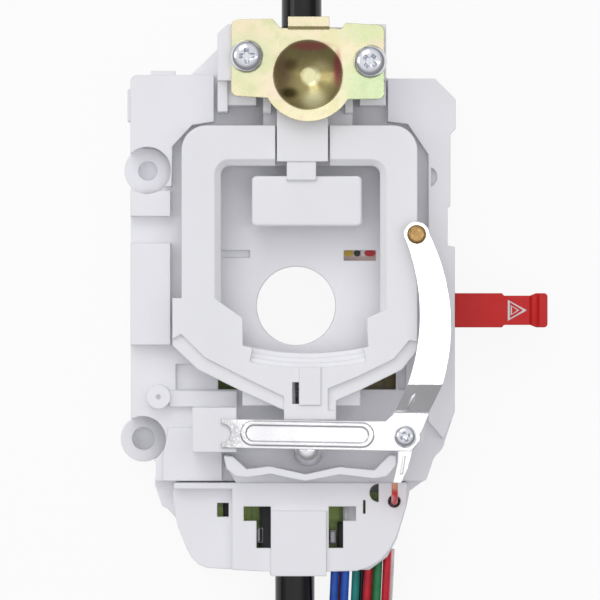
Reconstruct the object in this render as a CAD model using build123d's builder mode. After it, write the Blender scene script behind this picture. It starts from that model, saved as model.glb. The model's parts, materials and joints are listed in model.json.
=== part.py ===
"""Combination stalk switch: a column-mounted turn, light, wiper and hazard switch.

Millimetres. The origin is on the steering column's axis at the rear face, +Z points to the
driver, +Y points along the turn stalk and +X along the hazard knob.
"""
from math import cos, pi, radians, sin, tan
import os

from build123d import *

# Fits and clearances
RUN_GAP = 0.4        # between faces that slide past each other
SIDE_GAP = 0.3       # beside a guided piece
SHAFT_GAP = 0.05     # radial, shaft in hole

# Steering column bore and the levels above the rear face
BORE_R = 10.0
COLLAR_WALL = 2.0
REAR_T = 2.5
FLOOR_TOP = 22.5
FLOOR_T = 2.5
LAND_H = 3.5
LOWER_TOP = 18.0
CEILING_T = 1.5
COLLAR_R = BORE_R + COLLAR_WALL
LAND_TOP = FLOOR_TOP + LAND_H

# Turn lever pivot and cradle
PIVOT_X = 3.0
PIVOT_Y = 57.4
PIVOT_PIN_R = 3.0
HUB_R = 6.6
CRADLE_H = 9.0
CRADLE_FLOOR = 2.6
TURN_DEG = 7.0
CRADLE_Z = LAND_TOP + RUN_GAP
CRADLE_TOP = CRADLE_Z + CRADLE_H
CRADLE_X0 = -28.5
CRADLE_X1 = 30.25
RAIL_W = 9.75
CRADLE_Y1 = 45.0
BAR_W = 10.0
EAR_IN = 9.2
EAR_T = 2.0
EAR_Y0 = 48.0
EAR_Y1 = 60.2
TILT_Z = 31.5
TILT_PIN_R = 1.5
ARC_R = 69.2
ARC_STEP = 1.2

# Detent at the cradle's tip
TIP_X0 = -3.0
TIP_X1 = 10.0
TIP_Y1 = -28.4
BARREL_R = 4.5
BARREL_Y = -33.8
PLUNGER_R = 3.1
NOSE_R = 4.0
NOSE_Y = -36.1
PLUNGER_Y = -27.6
SPRING_Y = -17.4
PLUNGER_Z = CRADLE_Z + CRADLE_H / 2

# Dip lever and its box
LEVER_Z0 = 29.6
LEVER_TOP = 35.1
STALK_X = 1.4
STALK_Z = 32.5
BOX_X0 = -11.0
BOX_X1 = 16.4
BOX_Y0 = 19.9
BOX_Y1 = 32.4
BOX_Z0 = 27.2
BOX_H = 7.8

# Pivot bracket
BRACKET_Z = 39.6
BRACKET_T = 1.2
CUP_R = 8.75
CUP_TIP_R = 2.3
CUP_DEPTH = 4.1
LOBE_R = 11.6
BRACKET_SCREWS = [(-12.2, 62.0), (18.4, 60.7)]
BRACKET_SCREW_R = 1.9
BRACKET_HEAD_R = 4.2
BRACKET_HEAD_H = 2.6

# Stalks
STALK_R = 5.0
SPIGOT_R = 3.4
TURN_ROOT_Y = 67.4
ROOT_L = 27.0
GRIP_R = 6.4
GRIP_L = 62.0
KNOB_R = 8.0
KNOB_L = 26.0
KNOB_GAP = 0.5
CAP_L = 5.0
KNOB_SPINDLE_R = 2.5

# Horn contact and retainer bar
BAR_T = 0.8
BAR_Z = 36.2
HORN_T = 0.6
HORN_RISE = 3.0
BAR_SCREW = (27.2, -32.5)
BAR_SCREW_R = 1.5
BAR_HEAD_R = 2.8
POST_R = 4.5
BUTTON = (30.0, 17.8)
BUTTON_R = 2.4
HORN_Z = BAR_Z - HORN_T

# Wiper stalk
WIPER_X = -0.3
WIPER_Y = -57.0
WIPER_Z = 9.5
WIPER_ROOT_Y = -64.4
TILT_Y = -54.0
CARRIER_W = 16.0
CARRIER_Y0 = -48.0
CARRIER_Y1 = -61.4
CARRIER_Z0 = 3.0
CARRIER_Z1 = 16.1
TRUNNION_R = 3.0
TONGUE_W = 6.4

# Hazard knob
HAZARD_Y = -1.1
HAZARD_Z = 11.0
HAZARD_X0 = 40.1
HAZARD_H = 8.0
SHANK_W = 6.6
SHANK_H = 4.6

# Lower cover
COVER_TOP = 28.0
COVER_T = 1.8
DETENT_TOP = 34.8

# Boards, all 1.6 thick laminate
BOARD_T = 1.6
TURN_BOARD_Z = 10.4
WIPER_BOARD_Z = 19.4

# Harness
WIRE_D = 2.1
SOCKET_PITCH = 2.8
LAYER_DROP = 2.2
LOOM_ROUTE = [
    (16.65, -61.5, 12.4),
    (16.2, -71.5, 12.2),
    (15.7, -83.0, 8.0),
    (17.2, -95.5, 4.0),
    (19.8, -110.0, 3.9),
    (25.2, -127.0, 3.9),
    (29.8, -148.0, 3.9),
    (33.0, -172.0, 5.4),
    (33.0, -196.0, 5.4),
]
PLUG_W = 19.0
PLUG_L = 24.0
PLUG_H = 8.6

os.makedirs("parts", exist_ok=True)


def save(builder, name):
    """Label a finished piece and write it."""
    builder.part.label = name
    export_step(builder.part, f"parts/{name}.step")


def span(low, high):
    """Centre and size between two limits."""
    return (low + high) / 2, high - low


def block(x, y, z, mode=Mode.ADD):
    """A rectangular block between limits, for straight walls, pads and pockets."""
    centre_x, size_x = span(*x)
    centre_y, size_y = span(*y)
    centre_z, size_z = span(*z)
    with Locations((centre_x, centre_y, centre_z)):
        Box(size_x, size_y, size_z, mode=mode)


def post(x, y, z0, z1, r, mode=Mode.ADD):
    """A round post or hole along Z."""
    with Locations((x, y, z0)):
        Cylinder(r, z1 - z0, align=(Align.CENTER, Align.CENTER, Align.MIN), mode=mode)


def rod_x(x0, x1, y, z, r, mode=Mode.ADD):
    """A round bar or hole along X."""
    with Locations(Location((x0, y, z), (0, 90, 0))):
        Cylinder(r, x1 - x0, align=(Align.CENTER, Align.CENTER, Align.MIN), mode=mode)


def rod_y(x, y0, y1, z, r, mode=Mode.ADD):
    """A round bar or hole along Y, from y0 up to y1."""
    with Locations(Location((x, y0, z), (-90, 0, 0))):
        Cylinder(r, y1 - y0, align=(Align.CENTER, Align.CENTER, Align.MIN), mode=mode)


def outline(points):
    """A closed face from corner points, inside a sketch."""
    Polygon(*points, align=None)


def on_arc(radius, degrees):
    """A point at a radius from the turn pivot, degrees away from straight down."""
    angle = radians(degrees)
    return (PIVOT_X + radius * sin(angle), PIVOT_Y - radius * cos(angle))


def arc_band(inner, outer, half_deg):
    """A curved strip about the turn pivot, inside a sketch."""
    with BuildLine() as band:
        ThreePointArc(on_arc(inner, -half_deg), on_arc(inner, 0), on_arc(inner, half_deg))
        Line(on_arc(inner, half_deg), on_arc(outer, half_deg))
        ThreePointArc(on_arc(outer, half_deg), on_arc(outer, 0), on_arc(outer, -half_deg))
        Line(on_arc(outer, -half_deg), on_arc(inner, -half_deg))
    make_face(band.edges())


BODY = [
    (-41.5, 57.9), (-26.5, 57.9), (-19.5, 64.7), (-19.5, 67.6), (-17.0, 70.0), (22.4, 70.0), (22.4, 57.0),
    (34.8, 57.0), (40.0, 51.8), (40.0, 44.4), (38.7, 43.2), (38.7, 25.0), (38.0, 24.6),
    (38.0, 15.2), (39.8, 14.8), (39.8, -26.5), (37.5, -33.5), (34.5, -38.5), (32.8, -43.5),
    (28.6, -46.6), (27.9, -50.3), (25.4, -58.6), (23.0, -63.2), (18.5, -66.5),
    (-6.7, -66.5), (-19.1, -65.9), (-22.5, -65.7), (-24.6, -64.7), (-26.2, -63.0), (-27.5, -60.6),
    (-29.4, -55.9), (-30.1, -53.5), (-32.3, -51.1),
    (-33.7, -50.4), (-35.6, -44.9), (-35.2, -42.6), (-35.2, -39.3), (-41.5, -33.5),
]
LOWER_Y = -44.0
PLATFORM_H = 2.0
EAR_LOWER = (-38.5, -33.5)
EAR_LOWER_R = 5.8
EAR_HOLE_R = 2.9
EAR_HOLE_DEPTH = 5.0
EAR_TOP = 14.0
EAR_UPPER = (-37.3, 34.0)
EAR_UPPER_R = 5.9
EAR_UPPER_TOP = 19.0
POCKET_R = 2.4
POCKET_DEPTH = 3.0
LOBE = (32.8, -33.4)
LOBE_EAR_R = 4.6
TOWER_LEFT = (-19.5, -9.4)
TOWER_RIGHT = (15.2, 22.4)
TOWER_Y0 = 56.0
TOWER_Y1 = 70.0
PEDESTAL_X = (-25.8, -14.8)
PEDESTAL_Y = (-36.4, -25.3)
LEFT_WINDOW = ((-19.6, -14.0), (-21.0, -14.6))
RIGHT_WINDOW = ((16.0, 25.1), (-21.0, -14.6))
LEFT_RECESS_X = (-30.2, -19.6)
RIGHT_RECESS_X = (25.5, 27.6)
BLIND_DEPTH = 1.4
CAVITY_Y0 = -40.6
REAR_SCREWS = [(-35.5, 51.5), (33.6, 50.5), (-36.0, -22.8), (34.0, -26.5)]
REAR_SCREW_R = 1.5
REAR_HEAD_R = 3.0
DIMMER = (PIVOT_X, 26.0)
DIMMER_R = 2.2
DRIVE_R = 75.9
DRIVE_PIN_R = 1.8
DRIVE_Y = PIVOT_Y - DRIVE_R
SLIDER_HALF = 3.9
SLOT_HALF_DEG = TURN_DEG + 2.2

with BuildPart() as main_housing:
    with BuildSketch(Plane.XY.offset(REAR_T)):
        outline(BODY)
    extrude(amount=LOWER_TOP - REAR_T)
    with BuildSketch(Plane.XY.offset(REAR_T)):
        outline(BODY)
        with Locations((0, LOWER_Y - 20)):
            Rectangle(120, 40, mode=Mode.SUBTRACT)
    extrude(amount=FLOOR_TOP - REAR_T)
    # Soften the upright corners of the moulding
    upper_corners = [e for e in main_housing.edges().filter_by(Axis.Z) if e.center().Y > 50]
    fillet(upper_corners, 1.2)
    # Switch cavity, open at the rear
    block((-38.5, 36.5), (CAVITY_Y0, 50.0), (REAR_T, FLOOR_TOP - FLOOR_T), mode=Mode.SUBTRACT)
    block((-17.0, 20.0), (50.0, 67.4), (REAR_T, FLOOR_TOP - FLOOR_T), mode=Mode.SUBTRACT)
    # Wiper cavity below it
    with BuildSketch(Plane.XY.offset(REAR_T)):
        outline([(-28.6, CAVITY_Y0), (-20.6, -61.0), (-17.6, -64.1), (16.6, -64.1), (21.0, -61.4),
                 (23.2, -57.0), (26.6, -44.0), (26.6, CAVITY_Y0)])
    extrude(amount=LOWER_TOP - CEILING_T - REAR_T, mode=Mode.SUBTRACT)
    # Mounting ears and the plain lobe on the right
    post(*EAR_LOWER, REAR_T, EAR_TOP, EAR_LOWER_R)
    post(*EAR_UPPER, REAR_T, EAR_UPPER_TOP, EAR_UPPER_R)
    post(*LOBE, REAR_T, FLOOR_TOP, LOBE_EAR_R)
    # Column collar and the screw bosses stand in the cavity
    post(0, 0, 0, FLOOR_TOP, COLLAR_R)
    for x, y in REAR_SCREWS:
        post(x, y, REAR_T, FLOOR_TOP, REAR_HEAD_R)
    for x, y in REAR_SCREWS:
        post(x, y, REAR_T, REAR_T + 9.0, REAR_SCREW_R, mode=Mode.SUBTRACT)
    post(0, 0, 0, FLOOR_TOP, BORE_R, mode=Mode.SUBTRACT)
    # Lands left and right of the recess that the cradle swings in
    with BuildSketch(Plane.XY.offset(FLOOR_TOP)):
        with Locations((-36.5, 3.0)):
            Rectangle(10.0, 25.5)
        with Locations((-36.5, 25.7)):
            Rectangle(10.0, 6.4)
        outline([(-41.5, 41.5), (-41.5, 56.6), (-40.2, 57.9), (-20.6, 57.9), (-20.6, 46.2),
                 (-26.0, 45.4), (-31.0, 40.0), (-31.2, 30.0), (-41.5, 30.0)])
        outline([(23.0, 57.0), (34.8, 57.0), (40.0, 51.8), (40.0, 44.4), (38.7, 43.2), (38.7, 25.0),
                 (38.0, 24.6), (38.0, 15.2), (39.8, 14.8), (39.8, -26.5), (37.0, -33.4), (33.2, -29.0),
                 (33.2, 38.0), (28.0, 45.6), (23.0, 46.2)])
    extrude(amount=LAND_H)
    # Round scoop over the upper ear and its blind locating hole
    post(*EAR_UPPER, EAR_UPPER_TOP, LAND_TOP + 1, EAR_UPPER_R, mode=Mode.SUBTRACT)
    with Locations((EAR_UPPER[0], EAR_UPPER[1], EAR_UPPER_TOP)):
        Hole(POCKET_R, POCKET_DEPTH)
    post(*EAR_LOWER, EAR_TOP, LAND_TOP + 1, EAR_LOWER_R, mode=Mode.SUBTRACT)
    post(*EAR_LOWER, EAR_TOP - EAR_HOLE_DEPTH, EAR_TOP, EAR_HOLE_R, mode=Mode.SUBTRACT)
    # Side lug, top bead, small post and the half-round pocket on the right land
    block((-42.3, -39.6), (46.4, 54.4), (8.0, FLOOR_TOP + 1.2))
    rod_x(-36.4, -30.2, 57.4, LAND_TOP - 2.2, 1.6)
    post(-34.5, -22.8, FLOOR_TOP, LAND_TOP, 3.0)
    post(-34.5, -22.8, LAND_TOP - 1.2, LAND_TOP, 0.6, mode=Mode.SUBTRACT)
    with BuildSketch(Plane.XY.offset(LAND_TOP)):
        with BuildLine():
            Polyline((33.9, 30.0), (33.9, 34.7))
            RadiusArc((33.9, 34.7), (33.9, 30.0), 2.6)
        make_face()
    extrude(amount=-2.0, mode=Mode.SUBTRACT)
    # Tower blocks that carry the pivot bracket
    block(TOWER_RIGHT, (TOWER_Y0, TOWER_Y1), (FLOOR_TOP, BRACKET_Z))
    with BuildSketch(Plane.XY.offset(FLOOR_TOP)):
        outline([(TOWER_LEFT[0], TOWER_Y0), (TOWER_LEFT[0], 67.6), (-17.0, TOWER_Y1),
                 (TOWER_LEFT[1], TOWER_Y1), (TOWER_LEFT[1], TOWER_Y0)])
    extrude(amount=BRACKET_Z - FLOOR_TOP)
    block((-19.5, -17.0), (48.4, TOWER_Y0), (FLOOR_TOP, BRACKET_Z - 2.0))
    for x, y in BRACKET_SCREWS:
        post(x, y, BRACKET_Z - 12.0, BRACKET_Z, BRACKET_SCREW_R, mode=Mode.SUBTRACT)
    # Turn pivot: shoulder and pin
    post(PIVOT_X, PIVOT_Y, FLOOR_TOP, CRADLE_Z - SIDE_GAP, HUB_R - 1.0)
    post(PIVOT_X, PIVOT_Y, FLOOR_TOP, CRADLE_Z + CRADLE_FLOOR, PIVOT_PIN_R)
    # Guide rib under the cradle, concentric with the pivot
    with BuildSketch(Plane.XY.offset(FLOOR_TOP)):
        arc_band(ARC_R + 11.6, ARC_R + 13.4, 9.0)
    extrude(amount=LAND_H)
    # Windows, slots and the sweep slot for the cradle's drive pin
    for window_x, window_y in (LEFT_WINDOW, RIGHT_WINDOW):
        block(window_x, window_y, (FLOOR_TOP - FLOOR_T, FLOOR_TOP), mode=Mode.SUBTRACT)
    for recess_x in (LEFT_RECESS_X, RIGHT_RECESS_X):
        block(recess_x, LEFT_WINDOW[1], (FLOOR_TOP - BLIND_DEPTH, FLOOR_TOP), mode=Mode.SUBTRACT)
    block((-18.7, -11.6), (12.1, 14.0), (FLOOR_TOP - BLIND_DEPTH, FLOOR_TOP), mode=Mode.SUBTRACT)
    block((12.0, 20.1), (11.4, 14.0), (FLOOR_TOP - FLOOR_T, FLOOR_TOP), mode=Mode.SUBTRACT)
    with BuildSketch(Plane.XY.offset(FLOOR_TOP - FLOOR_T)):
        arc_band(DRIVE_R - DRIVE_PIN_R - SIDE_GAP, DRIVE_R + DRIVE_PIN_R + SIDE_GAP, SLOT_HALF_DEG)
    extrude(amount=FLOOR_T, mode=Mode.SUBTRACT)
    post(*DIMMER, FLOOR_TOP - FLOOR_T, FLOOR_TOP, DIMMER_R + SHAFT_GAP, mode=Mode.SUBTRACT)
    # Shelves under the bracket's lower edge and the platform beside the pedestal
    for limits in ((-17.0, -9.9), (15.9, 22.4)):
        block(limits, (50.0, TOWER_Y0), (FLOOR_TOP, BRACKET_Z - 3.5))
    with BuildSketch(Plane.XY.offset(FLOOR_TOP)):
        outline([(-32.0, -30.5), (-25.8, -30.5), (-25.8, -36.4), (-18.6, -36.4), (-18.6, -43.9),
                 (-33.4, -43.9), (-33.4, -38.0)])
    extrude(amount=PLATFORM_H)
    # Shelf, pedestal and post for the retainer bar
    block((-31.8, PEDESTAL_X[1]), (-25.3, -21.3), (FLOOR_TOP, FLOOR_TOP + 1.6))
    block(PEDESTAL_X, PEDESTAL_Y, (FLOOR_TOP, BAR_Z))
    post(*BAR_SCREW, FLOOR_TOP, HORN_Z, POST_R)
    post(*BAR_SCREW, HORN_Z - 9.0, HORN_Z, BAR_SCREW_R, mode=Mode.SUBTRACT)
    # Ribs over the boards that guide the turn slider and the hazard slider
    for rib_y in (DRIVE_Y - SLIDER_HALF - SIDE_GAP - 0.9, DRIVE_Y + SLIDER_HALF + SIDE_GAP):
        block((-18.0, 24.0), (rib_y, rib_y + 0.9), (TURN_BOARD_Z + BOARD_T, FLOOR_TOP - FLOOR_T))
    for rib_y in (HAZARD_Y - 5.5, HAZARD_Y + 4.8):
        block((13.0, 36.5), (rib_y, rib_y + 0.7), (7.0, FLOOR_TOP - FLOOR_T))
    # Posts under the wiper board
    for x, y in ((-20.0, -50.0), (18.0, -50.0), (-13.0, -62.0), (13.0, -62.0)):
        post(x, y, LOWER_TOP, WIPER_BOARD_Z, 1.4)
    # Wiper pivot hole, drive slot, stalk opening and harness opening
    post(WIPER_X, WIPER_Y, LOWER_TOP - CEILING_T, LOWER_TOP, TRUNNION_R + SHAFT_GAP, mode=Mode.SUBTRACT)
    block((-3.4, 4.6), (-52.4, -47.6), (LOWER_TOP - CEILING_T, LOWER_TOP), mode=Mode.SUBTRACT)
    block((-8.8, 7.6), (-66.5, -64.0), (3.4, LOWER_TOP - CEILING_T), mode=Mode.SUBTRACT)
    block((8.7, 25.4), (-67.0, -58.5), (9.0, 14.2), mode=Mode.SUBTRACT)
    # Hazard slider opening
    block((36.0, 40.5), (HAZARD_Y - SHANK_W / 2 - SIDE_GAP, HAZARD_Y + SHANK_W / 2 + SIDE_GAP),
          (HAZARD_Z - SHANK_H / 2 - SIDE_GAP, HAZARD_Z + SHANK_H / 2 + SIDE_GAP), mode=Mode.SUBTRACT)
save(main_housing, "main_housing")


def compression_spring(foot, direction, r, length, pitch, wire_r, name):
    """A compression spring of round wire, from its foot along a direction."""
    with BuildPart() as spring:
        with BuildLine():
            coil = Helix(pitch=pitch, height=length, radius=r, center=foot, direction=direction)
        with BuildSketch(Plane(coil @ 0, z_dir=coil % 0)):
            Circle(wire_r)
        sweep(path=coil, is_frenet=True)
    save(spring, name)


with BuildPart() as rear_cover:
    with BuildSketch():
        outline(BODY)
        Circle(COLLAR_R + SIDE_GAP, mode=Mode.SUBTRACT)
        with Locations(EAR_LOWER):
            Circle(EAR_LOWER_R, mode=Mode.SUBTRACT)
    extrude(amount=REAR_T)
    with Locations(*[Location((x, y, 0), (180, 0, 0)) for x, y in REAR_SCREWS]):
        CounterBoreHole(REAR_SCREW_R, REAR_HEAD_R, 1.2, REAR_T)
    # Posts under the boards
    for x, y in ((-17.0, -35.5), (-17.0, -15.5), (11.5, -35.5), (17.5, -35.5), (23.4, -35.5), (23.4, -9.5)):
        post(x, y, REAR_T, TURN_BOARD_Z, 1.6)
    # Foot of the dimmer spring and the socket of the wiper pivot
    post(*DIMMER, REAR_T, 8.0, 3.6)
    post(WIPER_X, WIPER_Y, REAR_T - 1.5, REAR_T, TRUNNION_R + SHAFT_GAP, mode=Mode.SUBTRACT)
save(rear_cover, "rear_cover")

with BuildPart() as rear_screws:
    for x, y in REAR_SCREWS:
        post(x, y, 0.1, 1.2, REAR_HEAD_R - 0.1)
        post(x, y, 1.2, REAR_T + 7.5, REAR_SCREW_R)
save(rear_screws, "rear_screws")

COVER = [
    (-30.4, -44.3), (-30.9, -47.3), (-30.1, -53.5), (-29.4, -55.9), (-27.5, -60.6), (-26.2, -63.0),
    (-24.6, -64.7), (-22.5, -65.7), (-19.1, -65.9), (-6.7, -66.5), (-6.3, -67.6),
    (7.6, -67.6), (7.6, -66.5), (15.2, -66.3), (18.4, -65.3), (21.2, -63.6), (23.4, -61.0),
    (25.2, -57.6), (27.6, -49.9), (27.8, -44.3),
]
DETENT_INNER = [(-15.8, -37.5), (-12.3, -40.7), (-6.5, -39.99), (2.5, -42.0), (10.75, -40.14),
                (19.6, -41.0), (23.2, -37.2)]
DETENT_BASE = [(24.3, -37.4), (25.4, -44.0), (22.0, -46.0), (-14.0, -46.0), (-17.6, -40.0),
               (-17.6, -37.1)]
DETENT_RIDGE = [(24.9, -37.3), (25.0, -39.6), (22.7, -42.4), (19.6, -43.0), (11.0, -42.0), (6.5, -42.8),
                (2.5, -43.6), (-2.0, -42.8), (-6.3, -41.8), (-12.0, -42.7), (-15.0, -42.4), (-17.3, -40.6),
                (-18.0, -37.4)]
BASE_TOP = 26.4
POCKET_TOP = 24.6
LEAD_HOLE = (24.6, -48.9)

with BuildPart() as lower_cover:
    with BuildSketch(Plane.XY.offset(LOWER_TOP)):
        outline(COVER)
    extrude(amount=COVER_TOP - LOWER_TOP)
    fillet(lower_cover.faces().sort_by(Axis.Z)[-1].edges().group_by(Axis.Y)[0], 0.8)
    # Pocket at the left
    block((-31.6, -16.0), (-67.0, -45.8), (POCKET_TOP, COVER_TOP), mode=Mode.SUBTRACT)
    # Hollow underside
    with BuildSketch(Plane.XY.offset(LOWER_TOP)):
        outline([(-14.2, -46.2), (-14.2, -64.7), (17.8, -64.7), (20.6, -62.2), (23.6, -57.2),
                 (25.8, -49.8), (25.8, -46.2)])
    extrude(amount=COVER_TOP - COVER_T - LOWER_TOP, mode=Mode.SUBTRACT)
    with BuildSketch(Plane.XY.offset(LOWER_TOP)):
        outline([(-28.6, -46.2), (-28.8, -47.5), (-27.6, -55.4), (-24.6, -62.2), (-22.0, -64.0),
                 (-14.2, -64.7), (-14.2, -46.2)])
    extrude(amount=POCKET_TOP - COVER_T - LOWER_TOP, mode=Mode.SUBTRACT)
    # Raised middle panel over the stalk opening
    block((-6.3, 7.6), (-67.6, -51.3), (COVER_TOP, COVER_TOP + 0.9))
    # Windows over the board
    block((-19.8, -16.9), (-52.9, -49.4), (LOWER_TOP, COVER_TOP), mode=Mode.SUBTRACT)
    for x in (-13.1, 8.2):
        block((x, x + 6.8), (-53.8, -50.2), (LOWER_TOP, COVER_TOP + 1), mode=Mode.SUBTRACT)
    for x in (-9.9, 8.2):
        block((x, x + 3.6), (-60.6, -53.8), (LOWER_TOP, COVER_TOP + 1), mode=Mode.SUBTRACT)
    block((16.8, 17.4), (-52.0, -48.6), (LOWER_TOP, COVER_TOP + 1), mode=Mode.SUBTRACT)
    # Base and ridge of the detent track for the cradle's plunger
    for corners, top in ((DETENT_BASE, BASE_TOP), (DETENT_RIDGE, DETENT_TOP)):
        with BuildSketch(Plane.XY.offset(FLOOR_TOP + SIDE_GAP)):
            outline(DETENT_INNER + corners)
        extrude(amount=top - FLOOR_TOP - SIDE_GAP)
    post(*LEAD_HOLE, LOWER_TOP, COVER_TOP + 1, 1.6, mode=Mode.SUBTRACT)
    # Half-round hole beside the lead
    with BuildSketch(Plane.XY.offset(LOWER_TOP)):
        with Locations((20.7, -46.8)):
            Circle(2.3)
            Rectangle(6.0, 6.0, align=(Align.MAX, Align.CENTER), mode=Mode.INTERSECT)
    extrude(amount=COVER_TOP - LOWER_TOP + 1, mode=Mode.SUBTRACT)
save(lower_cover, "lower_cover")

BRACKET = [
    (-16.1, 52.2), (-16.0, 71.2), (-5.8, 71.3), (-3.9, 69.0), (-2.6, 69.0), (-2.0, 71.0), (8.3, 71.0),
    (10.2, 68.8), (11.2, 68.8), (12.4, 70.3), (21.9, 69.7), (21.9, 51.4), (12.4, 51.3),
    (-6.3, 51.6),
]
LIP_X = (-2.0, 8.3)
LIP_Y = 69.0
LIP_END = 71.8
LIP_RISE = 1.35
LIP_STEP = 0.7

with BuildPart() as pivot_bracket:
    with BuildSketch(Plane.XY.offset(BRACKET_Z)) as bracket_plan:
        outline(BRACKET)
        with Locations((PIVOT_X, PIVOT_Y)):
            Circle(LOBE_R)
        with Locations(*BRACKET_SCREWS):
            Circle(BRACKET_SCREW_R + SIDE_GAP, mode=Mode.SUBTRACT)
    extrude(amount=BRACKET_T)
    corners = pivot_bracket.edges().filter_by(Axis.Z).filter_by(GeomType.LINE)
    fillet([e for e in corners if e.center().X < -15 or e.center().X > 21], 1.6)
    # Pressed cup that holds the lever down on its pivot
    with BuildSketch(Plane.XZ.offset(-PIVOT_Y)):
        outline([(PIVOT_X, BRACKET_Z - CUP_DEPTH), (PIVOT_X + CUP_TIP_R, BRACKET_Z - CUP_DEPTH),
                 (PIVOT_X + CUP_R, BRACKET_Z), (PIVOT_X + CUP_R, BRACKET_Z + BRACKET_T),
                 (PIVOT_X, BRACKET_Z + BRACKET_T)])
    revolve(axis=Axis((PIVOT_X, PIVOT_Y, 0), (0, 0, 1)))
    with BuildSketch(Plane.XZ.offset(-PIVOT_Y)):
        with BuildLine():
            Line((PIVOT_X, BRACKET_Z + BRACKET_T - CUP_DEPTH), (PIVOT_X, BRACKET_Z + BRACKET_T + 1))
            Line((PIVOT_X, BRACKET_Z + BRACKET_T + 1), (PIVOT_X + CUP_R, BRACKET_Z + BRACKET_T + 1))
            Line((PIVOT_X + CUP_R, BRACKET_Z + BRACKET_T + 1), (PIVOT_X + CUP_R, BRACKET_Z + BRACKET_T))
            ThreePointArc((PIVOT_X + CUP_R, BRACKET_Z + BRACKET_T),
                          (PIVOT_X + 6.0, BRACKET_Z + BRACKET_T - 2.1),
                          (PIVOT_X + CUP_TIP_R - 0.4, BRACKET_Z + BRACKET_T - CUP_DEPTH))
            Line((PIVOT_X + CUP_TIP_R - 0.4, BRACKET_Z + BRACKET_T - CUP_DEPTH),
                 (PIVOT_X, BRACKET_Z + BRACKET_T - CUP_DEPTH))
        make_face()
    revolve(axis=Axis((PIVOT_X, PIVOT_Y, 0), (0, 0, 1)), mode=Mode.SUBTRACT)
    # Lip over the stalk: a short step up, then level, to leave room for the dip stroke
    block((LIP_X[0] - 0.7, LIP_X[1] + 2.0), (LIP_Y, LIP_END + 1), (BRACKET_Z - 1, BRACKET_Z + BRACKET_T + 1),
          mode=Mode.SUBTRACT)
    lip_under = BRACKET_Z + LIP_RISE
    with BuildSketch(Plane.YZ.offset(LIP_X[0])):
        outline([(LIP_Y - 1.0, BRACKET_Z), (LIP_Y, BRACKET_Z), (LIP_Y + LIP_STEP, lip_under),
                 (LIP_END, lip_under), (LIP_END, lip_under + BRACKET_T),
                 (LIP_Y + LIP_STEP / 2, lip_under + BRACKET_T),
                 (LIP_Y - LIP_STEP / 2, BRACKET_Z + BRACKET_T), (LIP_Y - 1.0, BRACKET_Z + BRACKET_T)])
    extrude(amount=LIP_X[1] - LIP_X[0])
save(pivot_bracket, "pivot_bracket")

with BuildPart() as bracket_screws:
    for x, y in BRACKET_SCREWS:
        post(x, y, BRACKET_Z - 11.0, BRACKET_Z + BRACKET_T, BRACKET_SCREW_R)
        post(x, y, BRACKET_Z + BRACKET_T, BRACKET_Z + BRACKET_T + BRACKET_HEAD_H, BRACKET_HEAD_R)
    rims = bracket_screws.edges().filter_by(GeomType.CIRCLE).group_by(Axis.Z)[-1]
    fillet(rims, 1.5)
save(bracket_screws, "bracket_screws")

CRADLE = [
    (CRADLE_X0, CRADLE_Y1), (CRADLE_X1, CRADLE_Y1), (CRADLE_X1, -11.0), (26.5, -15.8), (16.3, -20.8),
    (TIP_X1, -23.6), (TIP_X1, TIP_Y1), (TIP_X0, TIP_Y1), (TIP_X0, -26.0), (-14.0, -21.0),
    (-24.5, -15.8), (-30.8, -9.8), (-30.8, 2.0), (CRADLE_X0, 2.0),
]
TERRACE_LEFT = [
    (-32.0, -9.0), (-32.0, -16.0), (-14.0, -28.0), (-3.0, -28.0), (-3.0, -22.6), (-12.8, -17.9),
    (-22.6, -12.9), (-28.6, -7.0),
]
TERRACE_RIGHT = [
    (31.5, -9.0), (31.5, -18.0), (16.0, -26.0), (8.0, -26.0), (8.0, -20.6), (15.2, -17.7), (24.4, -13.2),
    (28.2, -8.6),
]
WING_LEFT = [(-13.3, -3.0), (-18.7, 0.8)]
WING_RIGHT = [(21.0, -1.5), (17.7, -3.0)]
OPENING_Y1 = CRADLE_Y1 - BAR_W
OPENING_X0 = CRADLE_X0 + RAIL_W
OPENING_X1 = CRADLE_X1 - RAIL_W + 0.5
ARC_LEFT_DEG = -13.6
ARC_RIGHT_DEG = 12.5
LEVER_X = (-4.75, 8.0)
FLANGE_X = (-13.4, 16.05)

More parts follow.
